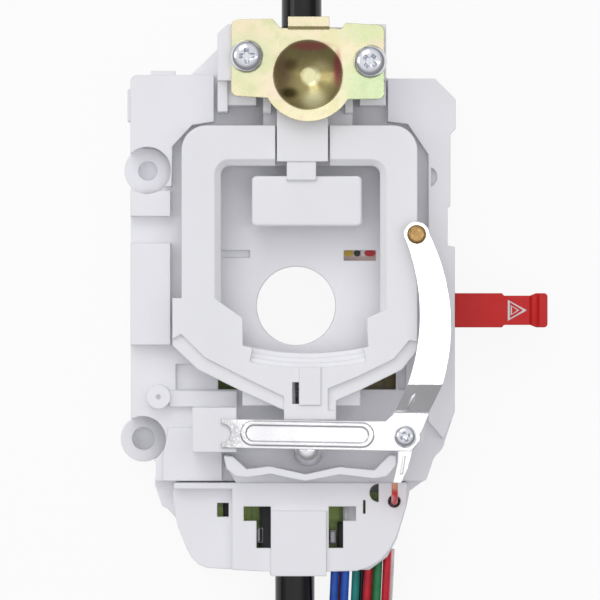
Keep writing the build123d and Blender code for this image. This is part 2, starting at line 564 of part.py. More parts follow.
with BuildPart() as cradle:
    with BuildSketch(Plane.XY.offset(CRADLE_Z)):
        outline(CRADLE)
        with BuildLine():
            Polyline(on_arc(ARC_R, ARC_LEFT_DEG), *WING_LEFT, (OPENING_X0, OPENING_Y1),
                     (OPENING_X1, OPENING_Y1), *WING_RIGHT, on_arc(ARC_R, ARC_RIGHT_DEG))
            ThreePointArc(on_arc(ARC_R, ARC_RIGHT_DEG), on_arc(ARC_R, 0), on_arc(ARC_R, ARC_LEFT_DEG))
        make_face(mode=Mode.SUBTRACT)
    extrude(amount=CRADLE_H)
    upright = cradle.edges().filter_by(Axis.Z)
    fillet([e for e in upright if e.center().Y > CRADLE_Y1 - 1], 6.2)
    upright = cradle.edges().filter_by(Axis.Z)
    fillet([e for e in upright if abs(e.center().Y - OPENING_Y1) < 0.1], 2.2)
    # Bevel round the top of the opening
    rim = cradle.faces().sort_by(Axis.Z)[-1].inner_wires()[0].edges()
    chamfer([e for e in rim if e.center().Y > 2.0], 1.6)
    # Terraces above the guide arc
    for step in range(3):
        with BuildSketch(Plane.XY.offset(CRADLE_TOP)):
            arc_band(ARC_R - 1.0, ARC_R + ARC_STEP * (step + 1), 11.5)
        extrude(amount=-ARC_STEP * 0.9 * (3 - step), mode=Mode.SUBTRACT)
    # Lowered terrace along the slanted edges
    for corners in (TERRACE_LEFT, TERRACE_RIGHT):
        with BuildSketch(Plane.XY.offset(CRADLE_TOP)):
            outline(corners)
        extrude(amount=-ARC_STEP, mode=Mode.SUBTRACT)
    # Lower flange either side of the tip
    block(FLANGE_X, (-24.9, -18.0), (CRADLE_Z, CRADLE_Z + CRADLE_H / 2))
    # Hollow rails and top bar, open at the back
    rib = 2.2
    for low, high in ((CRADLE_X0 + rib, OPENING_X0 - rib), (OPENING_X1 + rib, CRADLE_X1 - rib)):
        block((low, high), (5.0, CRADLE_Y1 - 5.0), (CRADLE_Z, CRADLE_TOP - rib), mode=Mode.SUBTRACT)
    # Neck and hub on the pivot, with the ears that carry the dip lever
    block((PIVOT_X - EAR_IN - EAR_T, PIVOT_X + EAR_IN + EAR_T), (CRADLE_Y1 - 1, PIVOT_Y),
          (CRADLE_Z, CRADLE_Z + CRADLE_FLOOR))
    post(PIVOT_X, PIVOT_Y, CRADLE_Z, CRADLE_Z + CRADLE_FLOOR, HUB_R)
    for side in (-1, 1):
        inner = PIVOT_X + side * EAR_IN
        outer = PIVOT_X + side * (EAR_IN + EAR_T)
        block((min(inner, outer), max(inner, outer)), (EAR_Y0, EAR_Y1), (CRADLE_Z, TILT_Z + 3.2))
    tops = cradle.edges().filter_by(Axis.X).filter_by(lambda e: abs(e.center().Z - TILT_Z - 3.2) < 0.01)
    fillet(tops, 1.6)
    rod_x(PIVOT_X - 12.0, PIVOT_X + 12.0, PIVOT_Y, TILT_Z, TILT_PIN_R + SHAFT_GAP, mode=Mode.SUBTRACT)
    post(PIVOT_X, PIVOT_Y, CRADLE_Z, CRADLE_Z + CRADLE_FLOOR, PIVOT_PIN_R + SHAFT_GAP, mode=Mode.SUBTRACT)
    # Notch that the lever's arm passes through
    block((LEVER_X[0] - RUN_GAP, LEVER_X[1] + RUN_GAP), (OPENING_Y1 - 2, CRADLE_Y1 + 1),
          (CRADLE_Z + CRADLE_FLOOR, CRADLE_TOP), mode=Mode.SUBTRACT)
    # Plunger barrel, its bore and the slot that shows the spring
    rod_y(PIVOT_X, BARREL_Y, TIP_Y1 + 1, PLUNGER_Z, BARREL_R)
    block((0.8, 6.2), (-24.7, -15.2), (CRADLE_TOP, CRADLE_TOP + 0.5))
    rod_y(PIVOT_X, BARREL_Y, SPRING_Y, PLUNGER_Z, PLUNGER_R + SHAFT_GAP, mode=Mode.SUBTRACT)
    block((-0.9, 0.7), (-24.4, -19.0), (PLUNGER_Z, CRADLE_TOP + 1), mode=Mode.SUBTRACT)
    # Drive pin for the turn contacts
    post(PIVOT_X, PIVOT_Y - DRIVE_R, 14.2, CRADLE_Z, DRIVE_PIN_R)
save(cradle, "cradle")

with BuildPart() as detent_plunger:
    rod_y(PIVOT_X, NOSE_Y + 0.6, PLUNGER_Y, PLUNGER_Z, PLUNGER_R)
    rod_y(PIVOT_X, NOSE_Y, NOSE_Y + 0.6, PLUNGER_Z, NOSE_R)
    with BuildSketch(Plane.XY.offset(PLUNGER_Z)):
        with BuildLine():
            Line((PIVOT_X, NOSE_Y), (PIVOT_X, NOSE_Y - NOSE_R))
            CenterArc((PIVOT_X, NOSE_Y), NOSE_R, -90, 90)
            Line((PIVOT_X + NOSE_R, NOSE_Y), (PIVOT_X, NOSE_Y))
        make_face()
    revolve(axis=Axis((PIVOT_X, 0, PLUNGER_Z), (0, 1, 0)))
save(detent_plunger, "detent_plunger")

DETENT_WIRE_R = 0.35
compression_spring((PIVOT_X, PLUNGER_Y + DETENT_WIRE_R, PLUNGER_Z), (0, 1, 0), 2.45,
                   SPRING_Y - PLUNGER_Y - 2 * DETENT_WIRE_R, 1.9, DETENT_WIRE_R, "detent_spring")

with BuildPart() as dip_lever:
    # Side profile of the pivot block between the ears
    with BuildSketch(Plane.YZ.offset(PIVOT_X - EAR_IN + SIDE_GAP)):
        outline([(50.0, 35.1), (62.5, LEVER_TOP), (62.5, LEVER_Z0 + 0.1), (55.0, LEVER_Z0), (50.0, 30.6)])
    extrude(amount=2 * (EAR_IN - SIDE_GAP))
    # Arm that passes through the cradle's notch
    with BuildSketch(Plane.YZ.offset(LEVER_X[0])):
        outline([(36.0, 36.4), (49.0, 36.4), (51.0, LEVER_TOP), (55.0, LEVER_TOP), (55.0, LEVER_Z0 + 0.4),
                 (46.0, 31.1), (36.0, 31.6)])
    extrude(amount=LEVER_X[1] - LEVER_X[0])
    # Stalk socket
    with BuildSketch(Plane.YZ.offset(STALK_X - 6.2)):
        outline([(60.0, LEVER_TOP), (62.5, LEVER_TOP), (64.2, 36.9), (TURN_ROOT_Y, 36.9),
                 (TURN_ROOT_Y, 29.9), (60.0, 29.9)])
    extrude(amount=12.4)
    rod_y(STALK_X, 62.6, TURN_ROOT_Y, STALK_Z, SPIGOT_R, mode=Mode.SUBTRACT)
    # Neck and actuator box
    block((-2.3, 5.0), (BOX_Y1 - 1, 37.0), (31.6, 36.0))
    block((BOX_X0, BOX_X1), (BOX_Y0, BOX_Y1), (BOX_Z0, BOX_Z0 + BOX_H))
    box_corners = [e for e in dip_lever.edges().filter_by(Axis.Z) if e.length > BOX_H - 0.1]
    fillet(box_corners, 1.25)
    box_rim = [e for e in dip_lever.edges() if abs(e.center().Z - BOX_Z0 - BOX_H) < 0.01]
    fillet([e for e in box_rim if e.center().Y < BOX_Y1 - 0.5], 0.7)
    for low, high in ((BOX_X0 + 1.6, PIVOT_X - 3.6), (PIVOT_X + 3.6, BOX_X1 - 1.6)):
        block((low, high), (BOX_Y0 + 1.6, BOX_Y1 - 1.6), (BOX_Z0, BOX_Z0 + BOX_H - 1.8), mode=Mode.SUBTRACT)
    rod_x(PIVOT_X - EAR_IN, PIVOT_X + EAR_IN, PIVOT_Y, TILT_Z, TILT_PIN_R, mode=Mode.SUBTRACT)
save(dip_lever, "dip_lever")

with BuildPart() as lever_pin:
    rod_x(PIVOT_X - EAR_IN - EAR_T, PIVOT_X + EAR_IN + EAR_T, PIVOT_Y, TILT_Z, TILT_PIN_R)
save(lever_pin, "lever_pin")


def stalk_family(prefix, x, root_y, z, side, spigot_l, spigot_r):
    """A stalk with its rotary knob and end cap, pointing along +Y or -Y."""
    shoulder = ROOT_L + 12.0
    grip_end = shoulder + GRIP_L
    knob_start = grip_end + KNOB_GAP
    spindle_end = knob_start + KNOB_L - 4.0
    axis = Axis((x, 0, z), (0, 1, 0))
    with BuildPart() as stalk:
        with BuildSketch(Plane.XY.offset(z)):
            outline([(x, root_y - side * spigot_l), (x + spigot_r, root_y - side * spigot_l),
                     (x + spigot_r, root_y), (x + STALK_R, root_y),
                     (x + STALK_R, root_y + side * ROOT_L), (x + GRIP_R, root_y + side * shoulder),
                     (x + GRIP_R + 0.8, root_y + side * (shoulder + GRIP_L / 2)),
                     (x + GRIP_R + 1.2, root_y + side * grip_end),
                     (x + KNOB_SPINDLE_R, root_y + side * grip_end),
                     (x + KNOB_SPINDLE_R, root_y + side * spindle_end), (x, root_y + side * spindle_end)])
        revolve(axis=axis)
    save(stalk, f"{prefix}_stalk")
    with BuildPart() as knob:
        with BuildSketch(Plane.XY.offset(z)):
            outline([(x + KNOB_SPINDLE_R + SHAFT_GAP, root_y + side * knob_start),
                     (x + KNOB_R, root_y + side * knob_start),
                     (x + KNOB_R, root_y + side * (knob_start + KNOB_L)),
                     (x, root_y + side * (knob_start + KNOB_L)),
                     (x, root_y + side * (spindle_end + SIDE_GAP)),
                     (x + KNOB_SPINDLE_R + SHAFT_GAP, root_y + side * (spindle_end + SIDE_GAP))])
        revolve(axis=axis)
        grip_plane = Plane(origin=(x, root_y + side * (knob_start + 3.0), z), x_dir=(1, 0, 0),
                           z_dir=(0, side, 0))
        with BuildSketch(grip_plane):
            with PolarLocations(KNOB_R + 1.1, 14):
                Circle(1.7)
        extrude(amount=KNOB_L - 3.0, mode=Mode.SUBTRACT)
    save(knob, f"{prefix}_knob")
    with BuildPart() as cap:
        with BuildSketch(Plane.XY.offset(z)):
            cap_y = root_y + side * (knob_start + KNOB_L)
            outline([(x, cap_y), (x + KNOB_R - 1.2, cap_y), (x + KNOB_R - 1.2, cap_y + side * (CAP_L - 2.5)),
                     (x + KNOB_R - 3.4, cap_y + side * CAP_L), (x, cap_y + side * CAP_L)])
        revolve(axis=axis)
    save(cap, f"{prefix}_end_cap")


stalk_family("turn", STALK_X, TURN_ROOT_Y, STALK_Z, 1, 3.0, SPIGOT_R)
stalk_family("wiper", WIPER_X, WIPER_ROOT_Y, WIPER_Z, -1, 6.0, 2.2)

# Retainer bar over the cradle's tip
BAR_PLAN = [
    (-18.6, -28.1), (22.3, -28.7), (24.3, -26.8), (27.0, -26.8), (30.6, -29.9), (30.9, -33.6),
    (28.6, -36.2), (-18.6, -35.3),
]
RIB_CENTRE = (2.8, -31.85)
RIB_TURN = -1.0
RIB_OUTER = (33.4, 6.3)
RIB_INNER = (30.2, 3.7)
RIB_H = 0.5

with BuildPart() as retainer_bar:
    with BuildSketch(Plane.XY.offset(BAR_Z)):
        outline(BAR_PLAN)
        with Locations((-18.6, -31.7)):
            Circle(2.4, mode=Mode.SUBTRACT)
        with Locations(BAR_SCREW):
            Circle(BAR_SCREW_R + SHAFT_GAP, mode=Mode.SUBTRACT)
    extrude(amount=BAR_T)
    # Stiffening rib pressed up as a long ring
    with BuildSketch(Plane.XY.offset(BAR_Z + BAR_T)):
        with Locations(Location((*RIB_CENTRE, 0), (0, 0, RIB_TURN))):
            SlotOverall(*RIB_OUTER)
            SlotOverall(*RIB_INNER, mode=Mode.SUBTRACT)
    extrude(amount=RIB_H, taper=30)
save(retainer_bar, "retainer_bar")

# Horn contact: the springy arm and the terminal that the bar screw holds
HORN_FOOT_Y = -26.4
HORN_TOP_Y = -19.5
HORN_HIGH = HORN_Z + HORN_RISE
ARM_TIP = [(26.7, 17.6), (30.2, 21.0), (33.2, 18.0)]

with BuildPart() as horn_arm:
    with BuildSketch(Plane.XY.offset(HORN_Z - 1)):
        with BuildLine():
            ThreePointArc((27.75, HORN_TOP_Y + 0.1), (30.65, 0.5), ARM_TIP[0])
            ThreePointArc(*ARM_TIP)
            ThreePointArc(ARM_TIP[2], (38.4, -1.0), (36.5, HORN_TOP_Y))
            Polyline((36.5, HORN_TOP_Y), (33.2, HORN_FOOT_Y), (24.4, HORN_FOOT_Y), (27.75, HORN_TOP_Y + 0.1))
        make_face()
        with Locations(BUTTON):
            Circle(1.2, mode=Mode.SUBTRACT)
    extrude(amount=HORN_RISE + 4)
    # Its stepped side, seen from the right
    with BuildSketch(Plane.YZ.offset(20.0)):
        outline([(24.0, HORN_HIGH), (HORN_TOP_Y, HORN_HIGH), (HORN_FOOT_Y, HORN_Z),
                 (HORN_FOOT_Y, HORN_Z + HORN_T), (HORN_TOP_Y, HORN_HIGH + HORN_T),
                 (24.0, HORN_HIGH + HORN_T)])
    extrude(amount=22.0, mode=Mode.INTERSECT)
save(horn_arm, "horn_arm")

TERMINAL_PLAN = [
    (24.3, -26.5), (33.2, -26.7), (31.4, -31.0), (29.0, -36.2), (27.9, -40.5), (26.2, -44.1),
    (24.2, -44.1), (25.3, -39.0), (25.4, -36.2), (22.6, -31.0),
]

with BuildPart() as horn_terminal:
    with BuildSketch(Plane.XY.offset(HORN_Z)):
        outline(TERMINAL_PLAN)
        with Locations(BAR_SCREW):
            Circle(BAR_SCREW_R + SHAFT_GAP, mode=Mode.SUBTRACT)
    extrude(amount=HORN_T)
    # Crease that stiffens the tail
    with BuildSketch(Plane.XY.offset(HORN_Z + HORN_T)):
        outline([(26.7, -37.4), (27.2, -37.4), (26.5, -41.8), (26.0, -41.8)])
    extrude(amount=0.3)
save(horn_terminal, "horn_terminal")

BUTTON_SHANK_R = 1.2
with BuildPart() as horn_button:
    # Domed head, shank and the tail riveted over under the arm
    button_top = HORN_HIGH + HORN_T
    post(*BUTTON, button_top, button_top + 1.1, BUTTON_R)
    fillet(horn_button.edges().group_by(Axis.Z)[-1], 0.9)
    post(*BUTTON, HORN_HIGH, button_top, BUTTON_SHANK_R)
    post(*BUTTON, HORN_HIGH - 0.5, HORN_HIGH, 1.8)
save(horn_button, "horn_button")

with BuildPart() as bar_screw:
    post(*BAR_SCREW, HORN_Z - 8.0, BAR_Z + BAR_T, BAR_SCREW_R)
    post(*BAR_SCREW, BAR_Z + BAR_T, BAR_Z + BAR_T + 1.6, BAR_HEAD_R)
    fillet(bar_screw.edges().group_by(Axis.Z)[-1], 0.8)
save(bar_screw, "bar_screw")

LEAD_D = 1.6
LEAD_Z = HORN_Z + HORN_T / 2
LEAD_BEND = 4.6


def corner_radii(points, share=0.45):
    """The radius at each corner that its two runs leave room for."""
    vectors = [Vector(*point) for point in points]
    radii = []
    for before, corner, after in zip(vectors, vectors[1:], vectors[2:]):
        first = corner - before
        second = after - corner
        turn = radians(first.get_angle(second))
        radii.append(share * min(first.length, second.length) / tan(turn / 2))
    return radii


def tube(points, radii, diameter, name):
    """A round lead of straight runs joined by tangent arcs."""
    with BuildPart() as lead:
        with BuildLine() as path:
            FilletPolyline(*points, radius=radii)
        with BuildSketch(Plane(path.line @ 0, z_dir=path.line % 0)):
            Circle(diameter / 2)
        sweep(path=path.wires()[0])
    length = path.wires()[0].length
    share = lead.part.volume / (pi * diameter ** 2 / 4 * length)
    bend = min(radii) / diameter
    print(f"{name}: length {length:.1f}, tightest bend {bend:.1f} diameters, share {share:.4f}")
    save(lead, name)


tube([(LEAD_HOLE[0], -44.1, LEAD_Z), (*LEAD_HOLE, LEAD_Z), (*LEAD_HOLE, 19.6)], [LEAD_BEND], LEAD_D,
     "horn_lead")

# Dimmer switch under the lever's box
FLANGE_Z = 17.0
with BuildPart() as dimmer_slider:
    post(*DIMMER, FLANGE_Z, BOX_Z0 - SIDE_GAP, DIMMER_R)
    fillet(dimmer_slider.edges().group_by(Axis.Z)[-1], 0.8)
    post(*DIMMER, FLANGE_Z, FLANGE_Z + 0.4, 3.6)
    post(*DIMMER, FLANGE_Z - 5.0, FLANGE_Z, 1.4)
save(dimmer_slider, "dimmer_slider")

CONTACT_T = 0.6
with BuildPart() as dimmer_contact:
    with BuildSketch(Plane.XY.offset(FLANGE_Z - CONTACT_T)):
        with Locations(DIMMER):
            SlotOverall(12.0, 2.6)
            Circle(2.6)
            Circle(1.4, mode=Mode.SUBTRACT)
    extrude(amount=CONTACT_T)
save(dimmer_contact, "dimmer_contact")

with BuildPart() as dimmer_terminals:
    for x in (PIVOT_X - 5.6, PIVOT_X + 4.8):
        block((x, x + 0.8), (DIMMER[1] - 1.2, DIMMER[1] + 1.2), (REAR_T, 13.3))
save(dimmer_terminals, "dimmer_terminals")

SPRING_FOOT_Z = 8.0
THIN_WIRE_R = 0.3
compression_spring((*DIMMER, SPRING_FOOT_Z + THIN_WIRE_R), (0, 0, 1), 2.3,
                   FLANGE_Z - CONTACT_T - SPRING_FOOT_Z - 2 * THIN_WIRE_R, 1.6, THIN_WIRE_R, "dimmer_spring")

# Turn contacts, moved sideways by the cradle's drive pin
with BuildPart() as turn_slider:
    block((PIVOT_X - 9.0, PIVOT_X + 9.0), (DRIVE_Y - SLIDER_HALF, DRIVE_Y + SLIDER_HALF),
          (13.0, FLOOR_TOP - FLOOR_T - SIDE_GAP))
    fillet(turn_slider.edges().filter_by(Axis.Z), 0.8)
    pin_room = DRIVE_PIN_R + SIDE_GAP
    block((PIVOT_X - pin_room, PIVOT_X + pin_room), (DRIVE_Y - 2.8, DRIVE_Y + 2.8),
          (13.0, FLOOR_TOP), mode=Mode.SUBTRACT)
save(turn_slider, "turn_slider")

with BuildPart() as turn_contacts:
    for offset in (-5.6, 5.6):
        block((PIVOT_X + offset - 1.6, PIVOT_X + offset + 1.6), (DRIVE_Y - 1.9, DRIVE_Y + 1.9), (12.3, 13.0))
save(turn_contacts, "turn_contacts")

with BuildPart() as switch_board:
    block((-19.8, 14.2), (-38.0, -13.0), (TURN_BOARD_Z, TURN_BOARD_Z + BOARD_T))
save(switch_board, "switch_board")

with BuildPart() as contact_board:
    block((14.6, 25.2), (-38.0, -7.0), (TURN_BOARD_Z, TURN_BOARD_Z + BOARD_T))
save(contact_board, "contact_board")

# Hazard knob, its slider and spring
KNOB_SOCKET = 6.0
SLIDER_X1 = 27.0
KNOB_PLAN = [
    (HAZARD_X0, 4.32), (52.0, 4.32), (52.5, 3.7), (59.3, 3.7), (60.8, 4.32), (63.5, 4.32),
    (63.5, -4.32), (60.8, -4.32), (59.3, -3.7), (52.5, -3.7), (52.0, -4.32), (HAZARD_X0, -4.32),
]
SHANK_Y = (HAZARD_Y - SHANK_W / 2, HAZARD_Y + SHANK_W / 2)
SHANK_Z = (HAZARD_Z - SHANK_H / 2, HAZARD_Z + SHANK_H / 2)

with BuildPart() as hazard_knob:
    with BuildSketch(Plane.XY.offset(HAZARD_Z - HAZARD_H / 2)):
        outline([(x, HAZARD_Y + half) for x, half in KNOB_PLAN])
    extrude(amount=HAZARD_H)
    fillet(hazard_knob.edges().filter_by(Axis.Z).group_by(Axis.X)[-1], 0.9)
    # Finger scoop before the lip, front and rear
    for z in (HAZARD_Z - HAZARD_H / 2, HAZARD_Z + HAZARD_H / 2):
        rod_y(60.2, HAZARD_Y - 6.0, HAZARD_Y + 6.0, z, 1.2, mode=Mode.SUBTRACT)
    block((HAZARD_X0, HAZARD_X0 + KNOB_SOCKET), SHANK_Y, SHANK_Z, mode=Mode.SUBTRACT)
save(hazard_knob, "hazard_knob")

with BuildPart() as hazard_slider:
    block((15.5, SLIDER_X1), (HAZARD_Y - 4.5, HAZARD_Y + 4.5), (8.0, 17.0))
    fillet(hazard_slider.edges().filter_by(Axis.Z), 0.8)
    block((17.5, 24.5), (HAZARD_Y - 3.0, HAZARD_Y + 3.0), (8.0, 11.0), mode=Mode.SUBTRACT)
    block((SLIDER_X1, HAZARD_X0 + KNOB_SOCKET), SHANK_Y, SHANK_Z)
save(hazard_slider, "hazard_slider")

compression_spring((SLIDER_X1 + THIN_WIRE_R, HAZARD_Y, 15.4), (1, 0, 0), 1.3,
                   36.5 - SLIDER_X1 - 2 * THIN_WIRE_R, 1.3, THIN_WIRE_R, "hazard_spring")

# Wiper carrier, lever and contacts
CARRIER_X = (WIPER_X - CARRIER_W / 2, WIPER_X + CARRIER_W / 2)
SPIGOT_HOLE_R = 2.2
PIN_Y = -50.0
PIN_R = 1.4

with BuildPart() as wiper_carrier:
    block(CARRIER_X, (CARRIER_Y1, CARRIER_Y0), (CARRIER_Z0, CARRIER_Z1))
    fillet(wiper_carrier.edges().filter_by(Axis.Z), 2.0)
    block((WIPER_X - TONGUE_W / 2 - SIDE_GAP, WIPER_X + TONGUE_W / 2 + SIDE_GAP), (CARRIER_Y1, CARRIER_Y0),
          (CARRIER_Z0 + 1.5, CARRIER_Z1 - 1.6), mode=Mode.SUBTRACT)
    post(WIPER_X, WIPER_Y, CARRIER_Z1, LOWER_TOP, TRUNNION_R)
    post(WIPER_X, WIPER_Y, REAR_T - 1.3, CARRIER_Z0, TRUNNION_R)
    rod_x(*CARRIER_X, TILT_Y, WIPER_Z, TILT_PIN_R, mode=Mode.SUBTRACT)
    post(WIPER_X, PIN_Y, CARRIER_Z1, WIPER_BOARD_Z - SIDE_GAP, PIN_R)
save(wiper_carrier, "wiper_carrier")

with BuildPart() as wiper_cross_pin:
    rod_x(*CARRIER_X, TILT_Y, WIPER_Z, TILT_PIN_R)
save(wiper_cross_pin, "wiper_cross_pin")

with BuildPart() as wiper_lever:
    block((WIPER_X - TONGUE_W / 2, WIPER_X + TONGUE_W / 2), (-63.0, -49.2), (6.0, 13.0))
    fillet(wiper_lever.edges().filter_by(Axis.X).group_by(Axis.Y)[-1], 2.0)
    rod_y(WIPER_X, WIPER_ROOT_Y, WIPER_ROOT_Y + 1.4, WIPER_Z, STALK_R)
    rod_x(WIPER_X - 4.0, WIPER_X + 4.0, TILT_Y, WIPER_Z, TILT_PIN_R + SHAFT_GAP, mode=Mode.SUBTRACT)
    rod_y(WIPER_X, WIPER_ROOT_Y, WIPER_ROOT_Y + 6.0, WIPER_Z, SPIGOT_HOLE_R, mode=Mode.SUBTRACT)
save(wiper_lever, "wiper_lever")

with BuildPart() as wiper_contacts:
    with BuildSketch(Plane.XY.offset(WIPER_BOARD_Z - 1.0)):
        with Locations((WIPER_X, PIN_Y)):
            SlotOverall(7.0, 3.6)
            Circle(PIN_R, mode=Mode.SUBTRACT)
    extrude(amount=0.7)
save(wiper_contacts, "wiper_contacts")

with BuildPart() as wiper_board:
    with BuildSketch(Plane.XY.offset(WIPER_BOARD_Z)):
        outline([(-24.5, -46.8), (-20.6, -59.0), (-17.6, -64.2), (15.0, -64.2), (19.5, -60.5), (21.6, -52.0),
                 (21.6, -46.8)])
    extrude(amount=BOARD_T)
save(wiper_board, "wiper_board")

# Harness: each wire follows the loom's route, moved sideways, in two layers
UPPER_WIRES = {"wire_blue_1": -6.6, "wire_blue_2": -3.9, "wire_teal": -1.2, "wire_red_1": 1.8,
               "wire_green": 4.3, "wire_red_2": 6.5}
LOWER_WIRES = {"wire_maroon": -5.3, "wire_black": 0.3, "wire_olive": 3.1, "wire_white": 7.3}
LOOM_CENTRE = 0.35


def moved_route(side, drop):
    """The loom's route moved sideways and down."""
    return [(x + side, y, z - drop) for x, y, z in LOOM_ROUTE]


for wires, drop in ((UPPER_WIRES, 0.0), (LOWER_WIRES, LAYER_DROP)):
    for name, side in wires.items():
        route = moved_route(side, drop)
        tube(route, corner_radii(route), WIRE_D, name)

# Two wraps of tape that keep the loom flat
TAPE_OUTER = (17.3, 5.5)
TAPE_INNER = (16.3, 4.5)
TAPE_L = 12.0
with BuildPart() as tape_bands:
    for start, end in ((4, 5), (6, 7)):
        here = Vector(*LOOM_ROUTE[start])
        there = Vector(*LOOM_ROUTE[end])
        run = (there - here).normalized()
        middle = (here + there) / 2 + Vector(LOOM_CENTRE, 0, -LAYER_DROP / 2) - run * (TAPE_L / 2)
        with BuildSketch(Plane(middle, x_dir=run.cross(Vector(0, 0, 1)), z_dir=run)):
            RectangleRounded(*TAPE_OUTER, 1.3)
            RectangleRounded(*TAPE_INNER, 0.8, mode=Mode.SUBTRACT)
        extrude(amount=TAPE_L)
save(tape_bands, "tape_bands")

PLUG_X = LOOM_ROUTE[-1][0] + LOOM_CENTRE
PLUG_Y = LOOM_ROUTE[-1][1]
ROW_Z = (LOOM_ROUTE[-1][2], LOOM_ROUTE[-1][2] - LAYER_DROP)
SOCKET_L = 8.0
SOCKETS = [PLUG_X + (index - 2.5) * SOCKET_PITCH for index in range(6)]

with BuildPart() as connector_housing:
    block((PLUG_X - PLUG_W / 2, PLUG_X + PLUG_W / 2), (PLUG_Y - PLUG_L, PLUG_Y), (0, PLUG_H))
    fillet(connector_housing.edges().filter_by(Axis.Y), 0.8)
    for z in ROW_Z:
        for x in SOCKETS:
            block((x - 0.9, x + 0.9), (PLUG_Y - PLUG_L, PLUG_Y - PLUG_L + SOCKET_L), (z - 0.7, z + 0.7),
                  mode=Mode.SUBTRACT)
    # Lock lever on top
    block((PLUG_X - 3.0, PLUG_X + 3.0), (PLUG_Y - 19.0, PLUG_Y - 4.0), (PLUG_H, PLUG_H + 1.6))
save(connector_housing, "connector_housing")

with BuildPart() as connector_terminals:
    for z in ROW_Z:
        for x in SOCKETS:
            block((x - 0.6, x + 0.6), (PLUG_Y - PLUG_L + 2.0, PLUG_Y - PLUG_L + SOCKET_L),
                  (z - 0.35, z + 0.35))
save(connector_terminals, "connector_terminals")
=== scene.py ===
"""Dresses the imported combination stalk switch: finishes, screws, wires, symbol, lights and camera."""
import json
import math

import bmesh
import bpy
from mathutils import Matrix, Vector


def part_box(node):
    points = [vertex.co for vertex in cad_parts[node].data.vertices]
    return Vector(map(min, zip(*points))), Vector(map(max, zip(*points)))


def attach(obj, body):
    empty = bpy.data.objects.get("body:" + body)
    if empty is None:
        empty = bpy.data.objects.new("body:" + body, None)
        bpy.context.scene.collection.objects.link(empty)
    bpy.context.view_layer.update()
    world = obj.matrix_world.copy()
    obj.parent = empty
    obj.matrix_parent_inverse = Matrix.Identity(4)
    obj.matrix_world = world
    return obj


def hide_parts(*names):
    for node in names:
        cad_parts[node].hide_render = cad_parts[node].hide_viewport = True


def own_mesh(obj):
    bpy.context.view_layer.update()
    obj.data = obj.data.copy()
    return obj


bl_info = {
    "name": "Combination Stalk Switch",
    "version": (1, 0, 0),
    "blender": (4, 5, 0),
    "location": "View3D > Sidebar > Stalk Switch",
    "description": "Builds the visual pieces and finishes of a steering column stalk switch",
    "category": "Object",
}

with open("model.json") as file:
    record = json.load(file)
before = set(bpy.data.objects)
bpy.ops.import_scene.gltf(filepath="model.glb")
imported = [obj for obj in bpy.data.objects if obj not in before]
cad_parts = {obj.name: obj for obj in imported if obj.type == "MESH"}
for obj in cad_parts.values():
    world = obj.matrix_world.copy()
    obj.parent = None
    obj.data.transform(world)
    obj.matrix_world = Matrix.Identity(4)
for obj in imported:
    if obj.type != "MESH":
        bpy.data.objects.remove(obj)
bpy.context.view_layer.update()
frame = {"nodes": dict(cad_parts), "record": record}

MM = 0.001
LAYER_DROP = 2.2
LOOM_ROUTE = [
    (16.65, -61.5, 12.4),
    (16.2, -71.5, 12.2),
    (15.7, -83.0, 8.0),
    (17.2, -95.5, 4.0),
    (19.8, -110.0, 3.9),
    (25.2, -127.0, 3.9),
    (29.8, -148.0, 3.9),
    (33.0, -172.0, 5.4),
    (33.0, -196.0, 5.4),
]
# Wire name, millimetres to the side of the loom's route, drop to its layer and insulation
WIRES = [
    ("wire_blue_1", -6.6, 0.0, "wire_blue"),
    ("wire_blue_2", -3.9, 0.0, "wire_blue"),
    ("wire_teal", -1.2, 0.0, "wire_teal"),
    ("wire_red_1", 1.8, 0.0, "wire_red"),
    ("wire_green", 4.3, 0.0, "wire_green"),
    ("wire_red_2", 6.5, 0.0, "wire_red"),
    ("wire_maroon", -5.3, LAYER_DROP, "wire_maroon"),
    ("wire_black", 0.3, LAYER_DROP, "wire_black"),
    ("wire_olive", 3.1, LAYER_DROP, "wire_olive"),
    ("wire_white", 7.3, LAYER_DROP, "wire_white"),
]
WIRE_COLOURS = {
    "wire_blue": (0.018, 0.12, 0.62),
    "wire_teal": (0.005, 0.26, 0.22),
    "wire_red": (0.66, 0.008, 0.03),
    "wire_maroon": (0.2, 0.01, 0.02),
    "wire_black": (0.012, 0.012, 0.014),
    "wire_olive": (0.2, 0.2, 0.03),
    "wire_green": (0.02, 0.24, 0.08),
    "wire_white": (0.75, 0.68, 0.68),
}


class StalkSwitchSizes(bpy.types.PropertyGroup):
    """Sizes of the dressed switch."""

    wire_diameter: bpy.props.FloatProperty(
        name="Wire diameter", description="Outside of the insulation", default=0.0021, unit="LENGTH")
    edge_softness: bpy.props.FloatProperty(
        name="Edge softness", description="Rounding of the moulded edges", default=0.00028, unit="LENGTH")
    bracket_recess: bpy.props.FloatProperty(
        name="Bracket screw recess", description="Length of the cross recess in the bracket screws",
        default=0.0047, unit="LENGTH")
    bar_recess: bpy.props.FloatProperty(
        name="Bar screw recess", description="Length of the cross recess in the retainer bar screw",
        default=0.0032, unit="LENGTH")
    symbol_raise: bpy.props.FloatProperty(
        name="Symbol thickness", description="Thickness of the printed hazard triangles", default=0.00003,
        unit="LENGTH")
    camera_distance: bpy.props.FloatProperty(
        name="Camera distance", description="Height of the camera over the switch", default=1.5,
        unit="LENGTH")


